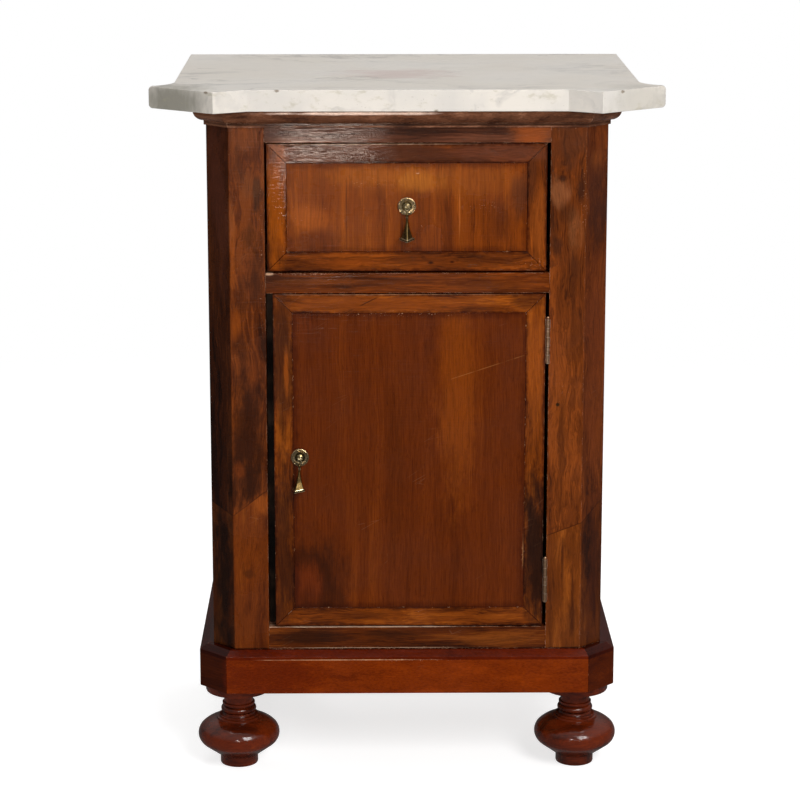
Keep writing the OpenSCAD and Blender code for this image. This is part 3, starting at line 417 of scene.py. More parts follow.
post_left = polished("left post veneer", post_paint(
    # the tint after -1.0 is painted shade on the left cant, darker than on the right
    -1.0, (0.45, 0.48, 0.66, 1.0), 0.3373, -0.77, 1.2,
    dark_to_light((48, 20, 8), (82, 36, 11), (114, 55, 18)),
    dark_to_light((74, 30, 8), (104, 47, 11), (134, 68, 17)),
    [(-0.181, 0.405, 0.026, 0.085, (50, 21, 8), 0.8),
     (-0.186, 0.35, 0.024, 0.03, (44, 19, 8), 0.7),
     (-0.196, 0.6, 0.004, 0.05, (134, 66, 18), 0.8),
     (-0.192, 0.537, 0.006, 0.018, (128, 62, 16), 0.7),
     (-0.175, 0.478, 0.006, 0.02, (108, 50, 14), 0.7),
     (-0.191, 0.362, 0.007, 0.012, (110, 50, 14), 0.7),
     (-0.17, 0.587, 0.011, 0.03, (60, 27, 11), 0.7),
     (-0.184, 0.5, 0.009, 0.028, (54, 23, 10), 0.6),
     (-0.179, 0.446, 0.019, 0.02, (50, 21, 9), 0.6),
     (-0.183, 0.39, 0.013, 0.02, (48, 20, 9), 0.6),
     (-0.169, 0.684, 0.006, 0.024, (50, 27, 17), 0.8),
     (-0.198, 0.655, 0.005, 0.03, (138, 74, 36), 0.6),
     (-0.177, 0.69, 0.01, 0.02, (106, 62, 40), 0.35),
     (-0.184, 0.745, 0.02, 0.02, (112, 60, 34), 0.5),
     (-0.177, 0.636, 0.008, 0.03, (58, 28, 13), 0.6),
     (-0.189, 0.712, 0.006, 0.022, (66, 34, 20), 0.5),
     (-0.186, 0.565, 0.007, 0.024, (60, 27, 11), 0.5),
     (-0.182, 0.241, 0.007, 0.005, (74, 34, 12), 0.7),
     (-0.213, 0.68, 0.014, 0.1, (116, 60, 40), 0.8),
     (-0.213, 0.235, 0.014, 0.13, (40, 21, 14), 0.9),
     (-0.165, 0.325, 0.016, 0.016, (150, 76, 24), 0.6),
     (-0.19, 0.1503, 0.05, 0.0015, (26, 12, 8), 0.85)],
    (1.7, 0.2, 0.0)), smooth=0.2, dull=0.34, wear=0.55, bare=(176, 132, 104), gloss=0.12,
    flecks=on_face(face_y, [(-0.164, 0.62, 0.003, 0.14, 0.8),
                            (-0.196, 0.74, 0.005, 0.03, 0.7)]))
post_right = polished("right post veneer", post_paint(
    # the tint after 1.0 is painted shade on the right cant
    1.0, (0.66, 0.64, 0.84, 1.0), 0.2871, 0.38, 0.5,
    dark_to_light((62, 28, 10), (98, 46, 16), (126, 62, 22)),
    dark_to_light((54, 24, 9), (100, 48, 14), (138, 73, 26)),
    [(0.182, 0.745, 0.022, 0.03, (80, 44, 30), 0.6),
     (0.17, 0.682, 0.015, 0.016, (140, 88, 62), 0.5),
     (0.187, 0.64, 0.009, 0.032, (134, 80, 50), 0.5),
     (0.186, 0.575, 0.003, 0.05, (62, 28, 12), 0.6),
     (0.175, 0.385, 0.005, 0.06, (70, 32, 13), 0.6),
     (0.1703, 0.4399, 0.0019, 0.0019, (40, 30, 14), 0.95),
     (0.173, 0.699, 0.005, 0.004, (56, 28, 18), 0.8),
     (0.194, 0.683, 0.005, 0.02, (54, 27, 18), 0.8),
     (0.167, 0.623, 0.009, 0.012, (62, 31, 18), 0.75),
     (0.189, 0.52, 0.009, 0.022, (92, 43, 15), 0.6),
     (0.19, 0.19, 0.005, 0.02, (72, 33, 12), 0.75),
     (0.165, 0.19, 0.004, 0.05, (76, 35, 13), 0.5),
     (0.216, 0.65, 0.014, 0.045, (52, 26, 15), 0.8),
     (0.212, 0.718, 0.008, 0.014, (150, 82, 34), 0.6),
     (0.213, 0.68, 0.014, 0.06, (80, 42, 26), 0.7),
     (0.213, 0.49, 0.013, 0.14, (116, 56, 24), 0.7),
     (0.213, 0.24, 0.013, 0.08, (68, 31, 16), 0.85),
     (0.206, 0.26, 0.007, 0.06, (40, 19, 12), 0.8),
     (0.183, 0.225, 0.006, 0.04, (150, 80, 28), 0.55),
     (0.178, 0.25, 0.0018, 0.035, (64, 29, 12), 0.7),
     (0.19, 0.215, 0.0016, 0.04, (66, 30, 12), 0.7),
     (0.18, 0.66, 0.01, 0.014, (64, 32, 18), 0.6),
     (0.19, 0.6, 0.008, 0.016, (74, 36, 18), 0.55),
     (0.19, 0.1503, 0.05, 0.0015, (26, 12, 8), 0.85)],
    (0.4, 0.9, 0.35)), wear=0.55, bare=(186, 140, 110),
    flecks=on_face(face_y, [(0.197, 0.68, 0.004, 0.06, 0.9),
                            (0.176, 0.756, 0.02, 0.004, 0.8),
                            (0.181, 0.455, 0.01, 0.012, 0.6),
                            (0.168, 0.45, 0.006, 0.01, 0.6),
                            (0.199, 0.19, 0.003, 0.03, 0.9)]))
softened("front_post_left", 0.0006, post_left)
softened("front_post_right", 0.0006, post_right)

# ----------------------
# Side panels: a flat board on each side of the case, let into a groove in the front post.
# Each carries one upright leaf of walnut veneer, which was polished less than the front.


def side_paint(tree, place):
    side_tones = dark_to_light((44, 18, 11), (86, 40, 20), (120, 62, 30))
    leaf = figured(tree, vector(tree, "ADD", place, (0.0, 0.6, 0.0)), side_tones, 0.02, 0.3, 0.02,
                   0.3, balance=0.48)
    return leaf["Colour"], leaf["Height"]


side_veneer = polished("side veneer", side_paint, smooth=0.22, dull=0.4)
softened("side_panel_left", 0.0005, side_veneer)
softened("side_panel_right", 0.0005, side_veneer)

# ----------------------
# Rails: three lengths across the front, above the drawer, below it and below the door.
# They are tenoned into the posts and veneered with walnut whose grain lies level.


def laid_level(tree, place, seed=(0, 0, 0)):
    """The place with X and Z changed over, so that the grain lies level."""
    x, y, z = axes(tree, place)
    return vector(tree, "ADD", joined(tree, z, y, x), seed)


# how fine a patch's ragged outline is along X, Y and Z where the grain lies level
level_run = (40, 120, 120)


def rail_paint(seed, tones, patches):
    """Paint for a rail: one leaf with its grain level, and patches on its face."""
    def paint(tree, place):
        leaf = figured(tree, laid_level(tree, place, seed), tones, 0.009, 0.09, 0.007, lines=0.4)
        colour = marked(tree, place, leaf["Colour"], leaf["Shade"], on_face(face_y, patches), 0.5,
                        level_run)
        return colour, leaf["Height"]
    return paint


top_rail_wood = polished("top rail veneer", rail_paint(
    (0.1, 0.0, 0.3), dark_to_light((48, 27, 20), (74, 41, 29), (102, 60, 44)),
    [(0.14, 0.757, 0.026, 0.04, (134, 68, 32), 0.95),
     (0.06, 0.757, 0.05, 0.006, (62, 33, 20), 0.6)]), smooth=0.05, dull=0.1,
    wear=0.5, bare=(190, 146, 118), ripples=1.0, film_tint=(0.99, 0.95, 0.82, 1.0))
drawer_rail_wood = polished("drawer rail veneer", rail_paint(
    (0.7, 0.0, 0.1), dark_to_light((60, 25, 6), (88, 38, 8), (118, 55, 13)),
    [(-0.1, 0.582, 0.05, 0.004, (118, 56, 14), 0.6),
     # painted glint: a pale spot at the left end of the rail's top arris
     (-0.155, 0.5915, 0.005, 0.0022, (216, 176, 164), 0.7),
     (0.09, 0.578, 0.05, 0.006, (66, 28, 8), 0.6)]),
    # the pale flecks along the rail's top arris are painted glints
    wear=0.62, bare=(200, 150, 116), flecks=on_face(face_y, [(-0.105, 0.5915, 0.06, 0.0016, 1.4)]))
bottom_rail_wood = polished("bottom rail veneer", rail_paint(
    (0.2, 0.0, 0.9), dark_to_light((50, 20, 7), (84, 36, 9), (116, 58, 16)),
    [(-0.115, 0.165, 0.045, 0.012, (44, 19, 8), 0.8),
     (-0.02, 0.168, 0.04, 0.007, (54, 23, 9), 0.7),
     (0.1, 0.16, 0.04, 0.008, (118, 62, 22), 0.5),
     (0.0, 0.1503, 0.3, 0.0017, (26, 12, 8), 0.85),
     # painted highlights: pale lines along the rail's lower and upper arrises
     (-0.05, 0.1516, 0.11, 0.0004, (214, 184, 180), 0.6),
     (-0.05, 0.1767, 0.13, 0.0005, (222, 196, 196), 0.8)]),
    wear=0.62, bare=(200, 150, 116),
    # the pale flecks along both arrises are painted glints
    flecks=on_face(face_y, [(-0.05, 0.1765, 0.12, 0.0016, 1.2),
                            (-0.06, 0.1512, 0.16, 0.0018, 1.3)]))
softened("top_rail", 0.0005, top_rail_wood)
softened("drawer_rail", 0.0005, drawer_rail_wood)
softened("bottom_rail", 0.0005, bottom_rail_wood)

# ----------------------
# Carcase inside: the back, the floor, the strips that the drawer runs on and the drawer's own box.
# All are softwood, glued up behind the veneered front, never polished, and have gone brown.


def bare_wood(name, level, *colours):
    """Softwood that was never polished, with its grain upright or level, dusty in places."""
    def paint(tree, place):
        laid = laid_level(tree, place) if level else place
        board = figured(tree, laid, dark_to_light(*colours), 0.014, 0.4, 0.01, 0.4)
        dust = fade(tree, noise(tree, place, 22.0, 3.0), 0.4, 0.75, 0.0, 0.35)
        return blend(tree, dust, board["Colour"], tone(124, 94, 70)), board["Height"]
    return polished(name, paint, smooth=0.62, dull=0.85, wear=0.2, bump=0.5,
                    film_tint=(1, 1, 1, 1))


upright_softwood = bare_wood("upright bare softwood", False, (108, 68, 42), (146, 100, 66),
                             (174, 128, 90))
level_softwood = bare_wood("level bare softwood", True, (112, 72, 44), (152, 106, 70),
                           (182, 136, 96))
for name in ("back_panel", "drawer_side_left", "drawer_side_right", "drawer_back", "drawer_bottom",
             "rear_top_rail", "cupboard_floor", "dust_board", "drawer_runner_left",
             "drawer_runner_right", "drawer_guide_left", "drawer_guide_right", "drawer_kicker_left",
             "drawer_kicker_right", "drawer_stops", "plinth_back", "foot_blocks"):
    softened(name, 0.0004, upright_softwood if name == "back_panel" else level_softwood, segments=1)
# the strip that the door closes against is painted nearly black, as painted shade in the gap beside
# the door
shaded_stop = bare_wood("stop painted dark as shade", False, (14, 8, 5), (22, 12, 8), (30, 17, 10))
softened("door_stop", 0.0004, shaded_stop, segments=1)

# ----------------------
# Moulding under the marble: five lengths of wood with a fillet and an ovolo, stained dark.
# They are mitred at the corners and glued round the top of the case.


def run_paint(direction, seed, tones, patches, width=0.006, bevel_z=1.0):
    """Paint for a level length that runs along a direction; above bevel_z dirt has settled on it."""
    def paint(tree, place):
        run = vector(tree, "DOT_PRODUCT", place, direction)
        x, y, z = axes(tree, place)
        laid = joined(tree, z, times(tree, plus(tree, x, y), 0.3), run)
        length = figured(tree, vector(tree, "ADD", laid, seed), tones, width, 0.11, 0.003, 0.34)
        soiled = tinted(tree, length["Colour"], tone(196, 160, 60))
        above = fade(tree, z, bevel_z - 0.0005, bevel_z + 0.0005)
        colour = blend(tree, above, length["Colour"], soiled)
        return marked(tree, place, colour, length["Shade"], patches, 0.5, level_run), length["Height"]
    return paint


slant = math.sqrt(0.5)
# the way that each of the five mitred lengths runs
directions = {"left_side": (0, 1, 0), "left_cant": (slant, -slant, 0), "front": (1, 0, 0),
              "right_cant": (slant, slant, 0), "right_side": (0, 1, 0)}
# near the front of the moulding and the plinth, which stand proud of the rails
proud_y = face_y - 0.012
moulding_tones = dark_to_light((60, 34, 23), (98, 61, 43), (138, 94, 72))
for part, direction in directions.items():
    moulding_wood = polished("moulding wood " + part, run_paint(
        direction, (len(part) * 0.13, 0.4, 0.2), moulding_tones,
        # painted shade: a dark line low on the moulding; painted highlight: a pale line high on the
        # front of the ovolo
        [((0.0, face_y, 0.7595), (0.4, 0.3, 0.0016), (34, 18, 12), 0.7),
         ((-0.06, proud_y, 0.7735), (0.1, 0.02, 0.002), (244, 214, 200), 0.8)]),
        smooth=0.06, dull=0.12, wear=0.5, bare=(196, 150, 120), ripples=1.0,
        film_tint=(1.0, 0.97, 0.9, 1.0))
    softened("top_moulding_" + part, 0.0004, moulding_wood)

# ----------------------
# Plinth: a skirt of five mitred boards round the foot of the case, bevelled along its top.
# It is plain wood, stained red and polished smooth; its cants and sides carry painted shade, and the
# bevel's lower arris a painted highlight.
bevel_z = 0.1405

# painted shade: each face gets a darker copy of the front's tones, by the shade given with it
for part, shade in (("left_side", 0.5), ("left_cant", 0.3), ("front", 1.0), ("right_cant", 0.37),
                    ("right_side", 0.5)):
    plinth_wood = polished("plinth wood " + part, run_paint(
        directions[part], (len(part) * 0.21, 0.1, 0.6),
        dark_to_light((94, 34, 4), (115, 46, 5), (130, 55, 8), shade=shade),
        [((-0.16, proud_y, 0.12), (0.08, 0.006, 0.03), (92, 30, 6), 0.8),
         # painted highlight: a pale line along the bevel's lower arris
         ((-0.07, proud_y, 0.1408), (0.1, 0.02, 0.0006), (226, 186, 172), 0.6)],
        width=0.01, bevel_z=bevel_z),
        smooth=0.14, wear=0.35, bare=(180, 110, 70), gloss=0.12, film_tint=(1.0, 0.82, 0.5, 1.0),
        # the pale flecks along the bevel's arris are painted glints
        flecks=[((-0.03, proud_y, bevel_z), (0.09, 0.05, 0.0014), 1.2)])
    softened("plinth_" + part, 0.0007, plinth_wood)

# ----------------------
# Feet: four buns turned from solid wood and stained red. From the floor up a pad, the bun, three
# rings, a bead, a ring and the neck, which spreads in a cove to the disc under the plinth.


def foot_paint(tree, place):
    foot_tones = dark_to_light((56, 19, 8), (98, 36, 10), (124, 51, 16))
    turned = figured(tree, laid_level(tree, place, (0.5, 0.2, 0.0)), foot_tones, 0.012, 0.06, 0.01,
                     0.4, balance=0.45)
    return turned["Colour"], turned["Height"]


def arc(centre, radius, start, end, steps):
    """Points on a circle arc as distance from the axis and height, in millimetres."""
    turns = [math.radians(start + (end - start) * i / steps) for i in range(steps + 1)]
    return [(centre[0] + radius * math.cos(t), centre[1] + radius * math.sin(t)) for t in turns]


foot_wood = polished("turned foot wood", foot_paint, smooth=0.12, dull=0.18, wear=0.3,
                     bare=(150, 84, 48), gloss=0.5, ripples=0.8, film_tint=(1.0, 0.86, 0.66, 1.0))
# the foot's outline from the floor up, as distance from the axis and height, in millimetres
foot_outline = ([(0, 0), (20.5, 0), (21.6, 0.5), (22, 1.6), (22, 11.0), (22.3, 11.5), (23.2, 11.6)]
                + arc((33.1, 37), 14.5, -52, 38, 14)
                + arc((20.6, 23.9), 32.6, 42, 82, 12)
                + [(26, 55.9), (26, 57.9), (25.6, 58.3), (23, 58.6), (23, 60.1), (22.6, 60.5),
                   (18.9, 60.7), (18.6, 61.1), (18.6, 63.2)]
                + arc((16.6, 67.22), 4.02, -85, 85, 10)
                + [(17.5, 71.4), (17.5, 72.7), (18.8, 73.0), (19, 73.4), (19, 75.0), (18.7, 75.3),
                   (17, 75.5), (17, 80.6)]
                + arc((26.38, 80.62), 9.38, 178, 92, 10)
                + [(36, 90.1), (37.4, 90.6), (38, 92), (38, 100), (0, 100)])
for name in ("foot_front_left", "foot_front_right", "foot_rear_left", "foot_rear_right"):
    low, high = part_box(name)
    middle = (low + high) / 2
    mesh = bmesh.new()
    path = [mesh.verts.new((r / 1000, 0, z / 1000)) for r, z in foot_outline]
    rim = [mesh.edges.new(pair) for pair in zip(path, path[1:])]
    bmesh.ops.spin(mesh, geom=path + rim, cent=(0, 0, 0), axis=(0, 0, 1), angle=math.tau, steps=96,
                   use_merge=True)
    bmesh.ops.remove_doubles(mesh, verts=mesh.verts, dist=1e-6)
    bmesh.ops.recalc_face_normals(mesh, faces=mesh.faces)
    bmesh.ops.translate(mesh, vec=(middle.x, middle.y, 0), verts=mesh.verts)
    finished(mesh, name, "_turned", foot_wood, 40.0)

# ----------------------
# Drawer front: a board faced with an upright leaf of walnut veneer, inside a border of four strips
# that stand a little proud of it. The strips are mitred at the corners, glued and polished.
border_width = 0.022
# patches stop inside the board, so that its back stays clean
front_depth = 0.015

# border run: which of the four strips a place lies on, and the place turned so that Z runs along it
border_run, given, out = effect(
    "border_run", {"Vector": (0, 0, 0), "Centre": (0, 0, 0), "Half size": (0.1, 0.0, 0.1)},
    {"Vector": "Vector", "Grime": "Float"})
tree = border_run
away = vector(tree, "SUBTRACT", given["Vector"], given["Centre"])
x, y, z = axes(tree, away)
half_x, _, half_z = axes(tree, given["Half size"])
side_gap = minus(tree, half_x, calc(tree, "ABSOLUTE", x))
top_gap = minus(tree, half_z, calc(tree, "ABSOLUTE", z))
side = calc(tree, "LESS_THAN", side_gap, top_gap)
side_shift = times(tree, calc(tree, "SIGN", x), 2.7)
shift = put(tree, "Mix", {0: side, 2: calc(tree, "SIGN", z), 3: side_shift}).outputs[0]
laid = put(tree, "Mix", {0: side, 4: joined(tree, z, y, x), 5: away}, data_type="VECTOR")
inner = minus(tree, border_width, calc(tree, "MINIMUM", side_gap, top_gap))
smear = noise(tree, given["Vector"], (150, 150, 150), 3.0)
band = times(tree, minus(tree, smear, 0.25), 0.007)
near = calc(tree, "MINIMUM", inner, calc(tree, "MINIMUM", side_gap, top_gap))
mitre = calc(tree, "ABSOLUTE", minus(tree, side_gap, top_gap))
seam = fade(tree, mitre, 0.0002, 0.0009, 1.0, 0.0)
grime = fade(tree, minus(tree, band, near), -0.002, 0.002)
feed(tree, out, {"Vector": vector(tree, "ADD", laid.outputs[1], joined(tree, 0.0, shift, 0.0)),
                 "Grime": calc(tree, "MAXIMUM", seam, grime)})


def ruled(tree, place, start, end, width):
    """A mask along the straight line between two places."""
    run = Vector(end) - Vector(start)
    heading = run.normalized()
    away = vector(tree, "SUBTRACT", place, start)
    off = vector(tree, "LENGTH", vector(tree, "CROSS_PRODUCT", away, heading))
    along = vector(tree, "DOT_PRODUCT", away, heading)
    past = calc(tree, "ABSOLUTE", minus(tree, along, run.length / 2))
    faint = fade(tree, noise(tree, place, 70.0, 2.0), 0.3, 0.6)
    return times(tree, times(tree, fade(tree, off, width / 2, width, 1.0, 0.0), faint),
                 calc(tree, "LESS_THAN", past, run.length / 2))


def border_paint(node, seed, tones, patches, splice=None):
    """Paint for a border: its grain runs along each strip, and grime lies along its edges. A splice
    is a glued joint in one strip, from a place to another."""
    low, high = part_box(node)
    centre = tuple((low + high) / 2)
    half_size = tuple((high - low) / 2)

    def paint(tree, place):
        run = use(tree, border_run, {"Vector": place, "Centre": centre, "Half size": half_size})
        strip = figured(tree, vector(tree, "ADD", run["Vector"], seed), tones, 0.009, 0.07, 0.01,
                        0.27, lines=0.4)
        level = on_face(low.y, [row for row in patches if row[2] > row[3]], front_depth)
        upright = on_face(low.y, [row for row in patches if row[2] <= row[3]], front_depth)
        colour = marked(tree, place, strip["Colour"], strip["Shade"], level, 0.5, level_run)
        colour = marked(tree, place, colour, strip["Shade"], upright, 0.5)
        if splice:
            line = times(tree, ruled(tree, place, *splice, 0.0009), 0.7)
            colour = blend(tree, line, colour, tone(40, 16, 6))
        soiled = tinted(tree, colour, tone(168, 150, 140))
        return blend(tree, run["Grime"], colour, soiled), strip["Height"]
    return paint


def field_paint(node, seed, tones, patches, streaks=(0.011, 0.34, 0.45), scratch=None):
    """Paint for the leaf inside a node's border. The streaks are given by width, contrast and lines,
    and a scratch runs from a place to another."""
    low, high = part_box(node)
    centre = tuple((low + high) / 2)
    half_size = tuple((high - low) / 2)

    def paint(tree, place):
        width, contrast, lines = streaks
        leaf = figured(tree, vector(tree, "ADD", place, seed), tones, width, 0.34, 0.005, contrast,
                       lines)
        colour = marked(tree, place, leaf["Colour"], leaf["Shade"],
                        on_face(low.y, patches, front_depth), 0.45)
        if scratch:
            line = times(tree, ruled(tree, place, *scratch, 0.0006), 0.22)
            colour = blend(tree, line, colour, tone(190, 130, 80))
        away = vector(tree, "ABSOLUTE", vector(tree, "SUBTRACT", place, centre))
        x, _, z = axes(tree, away)
        side_gap = minus(tree, half_size[0], x)
        top_gap = minus(tree, half_size[2], z)
        gap = minus(tree, calc(tree, "MINIMUM", side_gap, top_gap), border_width)
        smear = noise(tree, place, (90, 90, 90), 3.0)
        soil = fade(tree, minus(tree, times(tree, smear, 0.012), gap), -0.003, 0.006)
        soiled = tinted(tree, colour, tone(206, 196, 188))
        return blend(tree, soil, colour, soiled), leaf["Height"]
    return paint


drawer_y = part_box("drawer_border")[0].y
drawer_field = polished("drawer field veneer", field_paint(
    "drawer_border", (0.2, 0.0, 0.0), dark_to_light((88, 37, 6), (116, 53, 8), (140, 70, 13)),
    # painted sheen: the first three rows, a pale yellow band across the top of the field, stand in for
    # the veneer's shimmer
    [(0.045, 0.698, 0.13, 0.022, (146, 77, 22), 0.45),
     (-0.03, 0.703, 0.07, 0.014, (168, 94, 30), 0.35),
     (0.012, 0.694, 0.03, 0.012, (186, 112, 38), 0.35),
     (-0.112, 0.653, 0.03, 0.018, (154, 78, 22), 0.6),
     (-0.104, 0.627, 0.036, 0.016, (84, 36, 14), 0.6),
     (-0.068, 0.66, 0.0012, 0.04, (78, 34, 12), 0.7),
     (0.058, 0.66, 0.001, 0.045, (160, 90, 40), 0.6),
     (0.104, 0.65, 0.016, 0.03, (80, 34, 11), 0.7),
     (0.125, 0.68, 0.012, 0.03, (76, 38, 22), 0.7)]), wear=0.3,
    smooth=0.2, dull=0.3, gloss=0.12,
    flecks=on_face(drawer_y, [(-0.045, 0.693, 0.045, 0.006, 0.75),
                              (0.0114, 0.705, 0.002, 0.002, 1.6),
                              (-0.1, 0.66, 0.05, 0.03, 0.35),
                              (0.09, 0.665, 0.02, 0.01, 0.6),
                              (0.02, 0.645, 0.02, 0.006, 0.6)], front_depth))
drawer_border = polished("drawer border veneer", border_paint(
    "drawer_border", (0.0, 0.3, 0.0), dark_to_light((58, 25, 9), (98, 45, 13), (134, 66, 20)),
    [(-0.147, 0.665, 0.014, 0.08, (156, 78, 10), 0.65),
     (-0.03, 0.728, 0.15, 0.014, (70, 38, 29), 0.8),
     (0.1, 0.727, 0.06, 0.013, (98, 54, 42), 0.75),
     (0.139, 0.7, 0.006, 0.03, (78, 40, 24), 0.6),
     (0.147, 0.65, 0.01, 0.05, (134, 68, 26), 0.7),
     # painted highlight: a pale line along the border's top arris
     (-0.04, 0.7374, 0.13, 0.0006, (214, 190, 184), 0.65),
     (0.026, 0.6035, 0.005, 0.0025, (30, 12, 6), 0.9),
     (0.05, 0.6045, 0.004, 0.002, (30, 12, 6), 0.9),
     (-0.06, 0.604, 0.04, 0.003, (134, 64, 20), 0.7),
     (0.1, 0.606, 0.03, 0.004, (70, 30, 10), 0.7)]),
    smooth=0.05, dull=0.1, wear=0.35, bare=(186, 136, 100), ripples=1.0,
    flecks=on_face(drawer_y, [(0.138, 0.6, 0.02, 0.012, 0.9),
                              (-0.14, 0.64, 0.012, 0.05, 0.5),
                              (-0.08, 0.733, 0.08, 0.006, 0.7)], front_depth))
softened("drawer_front", 0.0004, drawer_field)
softened("drawer_border", 0.0004, drawer_border)

# ----------------------
# Door: one board faced with an upright leaf of walnut veneer, inside a border like the drawer's.
# It hangs on two hinges at the right and closes against a strip inside the case.
door_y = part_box("door_border")[0].y
field_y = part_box("door_board")[0].y
door_field = polished("door field veneer", field_paint(
    "door_border", (0.8, 0.0, 0.3), dark_to_light((74, 28, 4), (91, 37, 6), (110, 49, 8)),
    [(0.056, 0.46, 0.024, 0.14, (124, 58, 10), 0.75),
     (-0.105, 0.22, 0.04, 0.07, (56, 22, 6), 0.8),
     (-0.113, 0.236, 0.027, 0.04, (44, 17, 6), 0.7),
     (-0.115, 0.226, 0.02, 0.032, (108, 43, 11), 0.7),
     (-0.115, 0.208, 0.01, 0.02, (70, 27, 8), 0.7),
     (-0.015, 0.36, 0.012, 0.12, (76, 30, 5), 0.5),
     (0.1326, 0.267, 0.0008, 0.022, (190, 138, 100), 0.7)],
    streaks=(0.017, 0.46, 0.3), scratch=((0.049, field_y, 0.4695), (0.132, field_y, 0.497))), wear=0.3,
    flecks=on_face(door_y, [(-0.03, 0.5445, 0.1, 0.0025, 0.95),
                            (0.1315, 0.26, 0.0012, 0.02, 1.2)], front_depth))
door_border = polished("door border veneer", border_paint(
    "door_border", (0.3, 0.1, 0.2), dark_to_light((72, 30, 5), (112, 52, 9), (144, 74, 18)),
    [(-0.03, 0.557, 0.1, 0.009, (132, 63, 13), 0.6),
     # painted highlight: a pale line along the border's top arris
     (-0.02, 0.5673, 0.13, 0.0006, (206, 166, 140), 0.55),
     (0.135, 0.56, 0.018, 0.01, (70, 30, 8), 0.7),
     (0.145, 0.485, 0.012, 0.07, (142, 70, 17), 0.7),
     (0.146, 0.27, 0.017, 0.105, (36, 16, 9), 0.95),
     (-0.141, 0.49, 0.014, 0.1, (62, 28, 10), 0.8),
     (-0.137, 0.48, 0.003, 0.03, (138, 68, 16), 0.8),
     (-0.141, 0.27, 0.014, 0.11, (56, 24, 9), 0.85),
     (-0.05, 0.19, 0.03, 0.005, (78, 34, 10), 0.6)],
    splice=((-0.0707, door_y, 0.5459), (-0.0262, door_y, 0.5679))),
    wear=0.35, bare=(196, 150, 116),
    flecks=on_face(door_y, [(-0.03, 0.207, 0.09, 0.006, 0.6),
                            (0.012, 0.196, 0.006, 0.002, 1.2),
                            (-0.03, 0.547, 0.12, 0.003, 0.7)], front_depth))
softened("door_board", 0.0004, door_field)
softened("door_border", 0.0004, door_border)

# ----------------------
# Hinges: two butt hinges of brass, let into the door's edge and the post and held by screws.
# The brass has gone dull with age and is brighter only along its arrises.


def metal(name, base, stain, bright, smooth, dull, stained, well=None):
    """Brass with a base, stained and bright tone, bright at its edges and dirty round a well."""
    material, tree, shader, place = new_material(name)
    cloud = noise(tree, place, 260.0, 4.0, 0.6)
    fine = noise(tree, place, (1800, 1800, 300), 2.0)
    edge = use(tree, worn_edges, {"Vector": place, "Amount": 1.0})["Mask"]
    tarnish = times(tree, fade(tree, cloud, 0.5 - stained * 0.3, 0.8 - stained * 0.3),
                    minus(tree, 1.0, times(tree, edge, 0.7)))
    rough = plus(tree, fade(tree, cloud, 0.3, 0.75, smooth, dull),
                 times(tree, minus(tree, fine, 0.5), 0.12))
    raised = put(tree, "Bump", {"Height": fine, "Strength": 0.15, "Distance": 0.0001})
    body = blend(tree, tarnish, tone(*base), tone(*stain))
    colour = blend(tree, edge, body, tone(*bright))
    if well:
        well_rim = (0.0054, 0.0062)
        apart = vector(tree, "MULTIPLY", vector(tree, "SUBTRACT", place, well), (1, 0, 1))
        inside = fade(tree, vector(tree, "LENGTH", apart), *well_rim, 1.0, 0.0)
        colour = blend(tree, inside, colour, tone(74, 62, 36))
    feed(tree, shader, {"Base Color": colour, "Metallic": 1.0,
                        "Roughness": rough, "Normal": raised.outputs["Normal"]})
    return material


hinge_brass = metal("aged hinge brass", (236, 200, 166), (176, 138, 106), (255, 236, 214),
                    0.34, 0.5, 0.8)
for name in ("hinge_upper_case_leaf", "hinge_lower_case_leaf", "hinge_upper_door_leaf",
             "hinge_lower_door_leaf", "hinge_upper_pin", "hinge_lower_pin", "hinge_case_screws",
             "hinge_door_screws"):
    softened(name, 0.00012, hinge_brass, segments=1)

# ----------------------
# Pulls: a dished rosette, a post with an eye and a nut behind, and a square drop that flares
# downwards and hangs from the eye. All are brass, polished by hands and dirty in the hollows.
pull_brass = metal("polished pull brass", (158, 138, 92), (96, 80, 48), (255, 240, 204),
                   0.26, 0.42, 0.35)
for name in ("drawer_pull", "door_pull"):
    low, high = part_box(name + "_rosette")
    middle = (low + high) / 2
    dished = metal("brass with a dirty well, " + name, (206, 182, 138), (132, 110, 74),
                   (255, 240, 214), 0.2, 0.36, 0.3, well=tuple(middle))
    softened(name + "_rosette", 0.00018, dished, segments=3)
    softened(name + "_post", 0.00018, pull_brass, segments=3)
    softened(name + "_nut", 0.00018, pull_brass, segments=3)
drop_brass = metal("dull brass of the drops", (118, 96, 58), (70, 56, 32), (250, 232, 186),
                   0.3, 0.44, 0.45)
# only the upright arrises of the flare are rubbed round, up to where the drop is drawn in to its neck
flare = 0.026
steep = math.radians(60)
for name in ("drawer_drop", "door_drop"):
    flare_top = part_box(name)[0].z + flare

    def flare_arris(edge):
        rise = abs(edge.verts[0].co.z - edge.verts[1].co.z)
        return (edge.calc_face_angle(0.0) > steep and rise > 0.6 * edge.calc_length()
                and max(v.co.z for v in edge.verts) < flare_top)

    softened(name, 0.00012, drop_brass, arris=0.0014, rubbed=flare_arris)

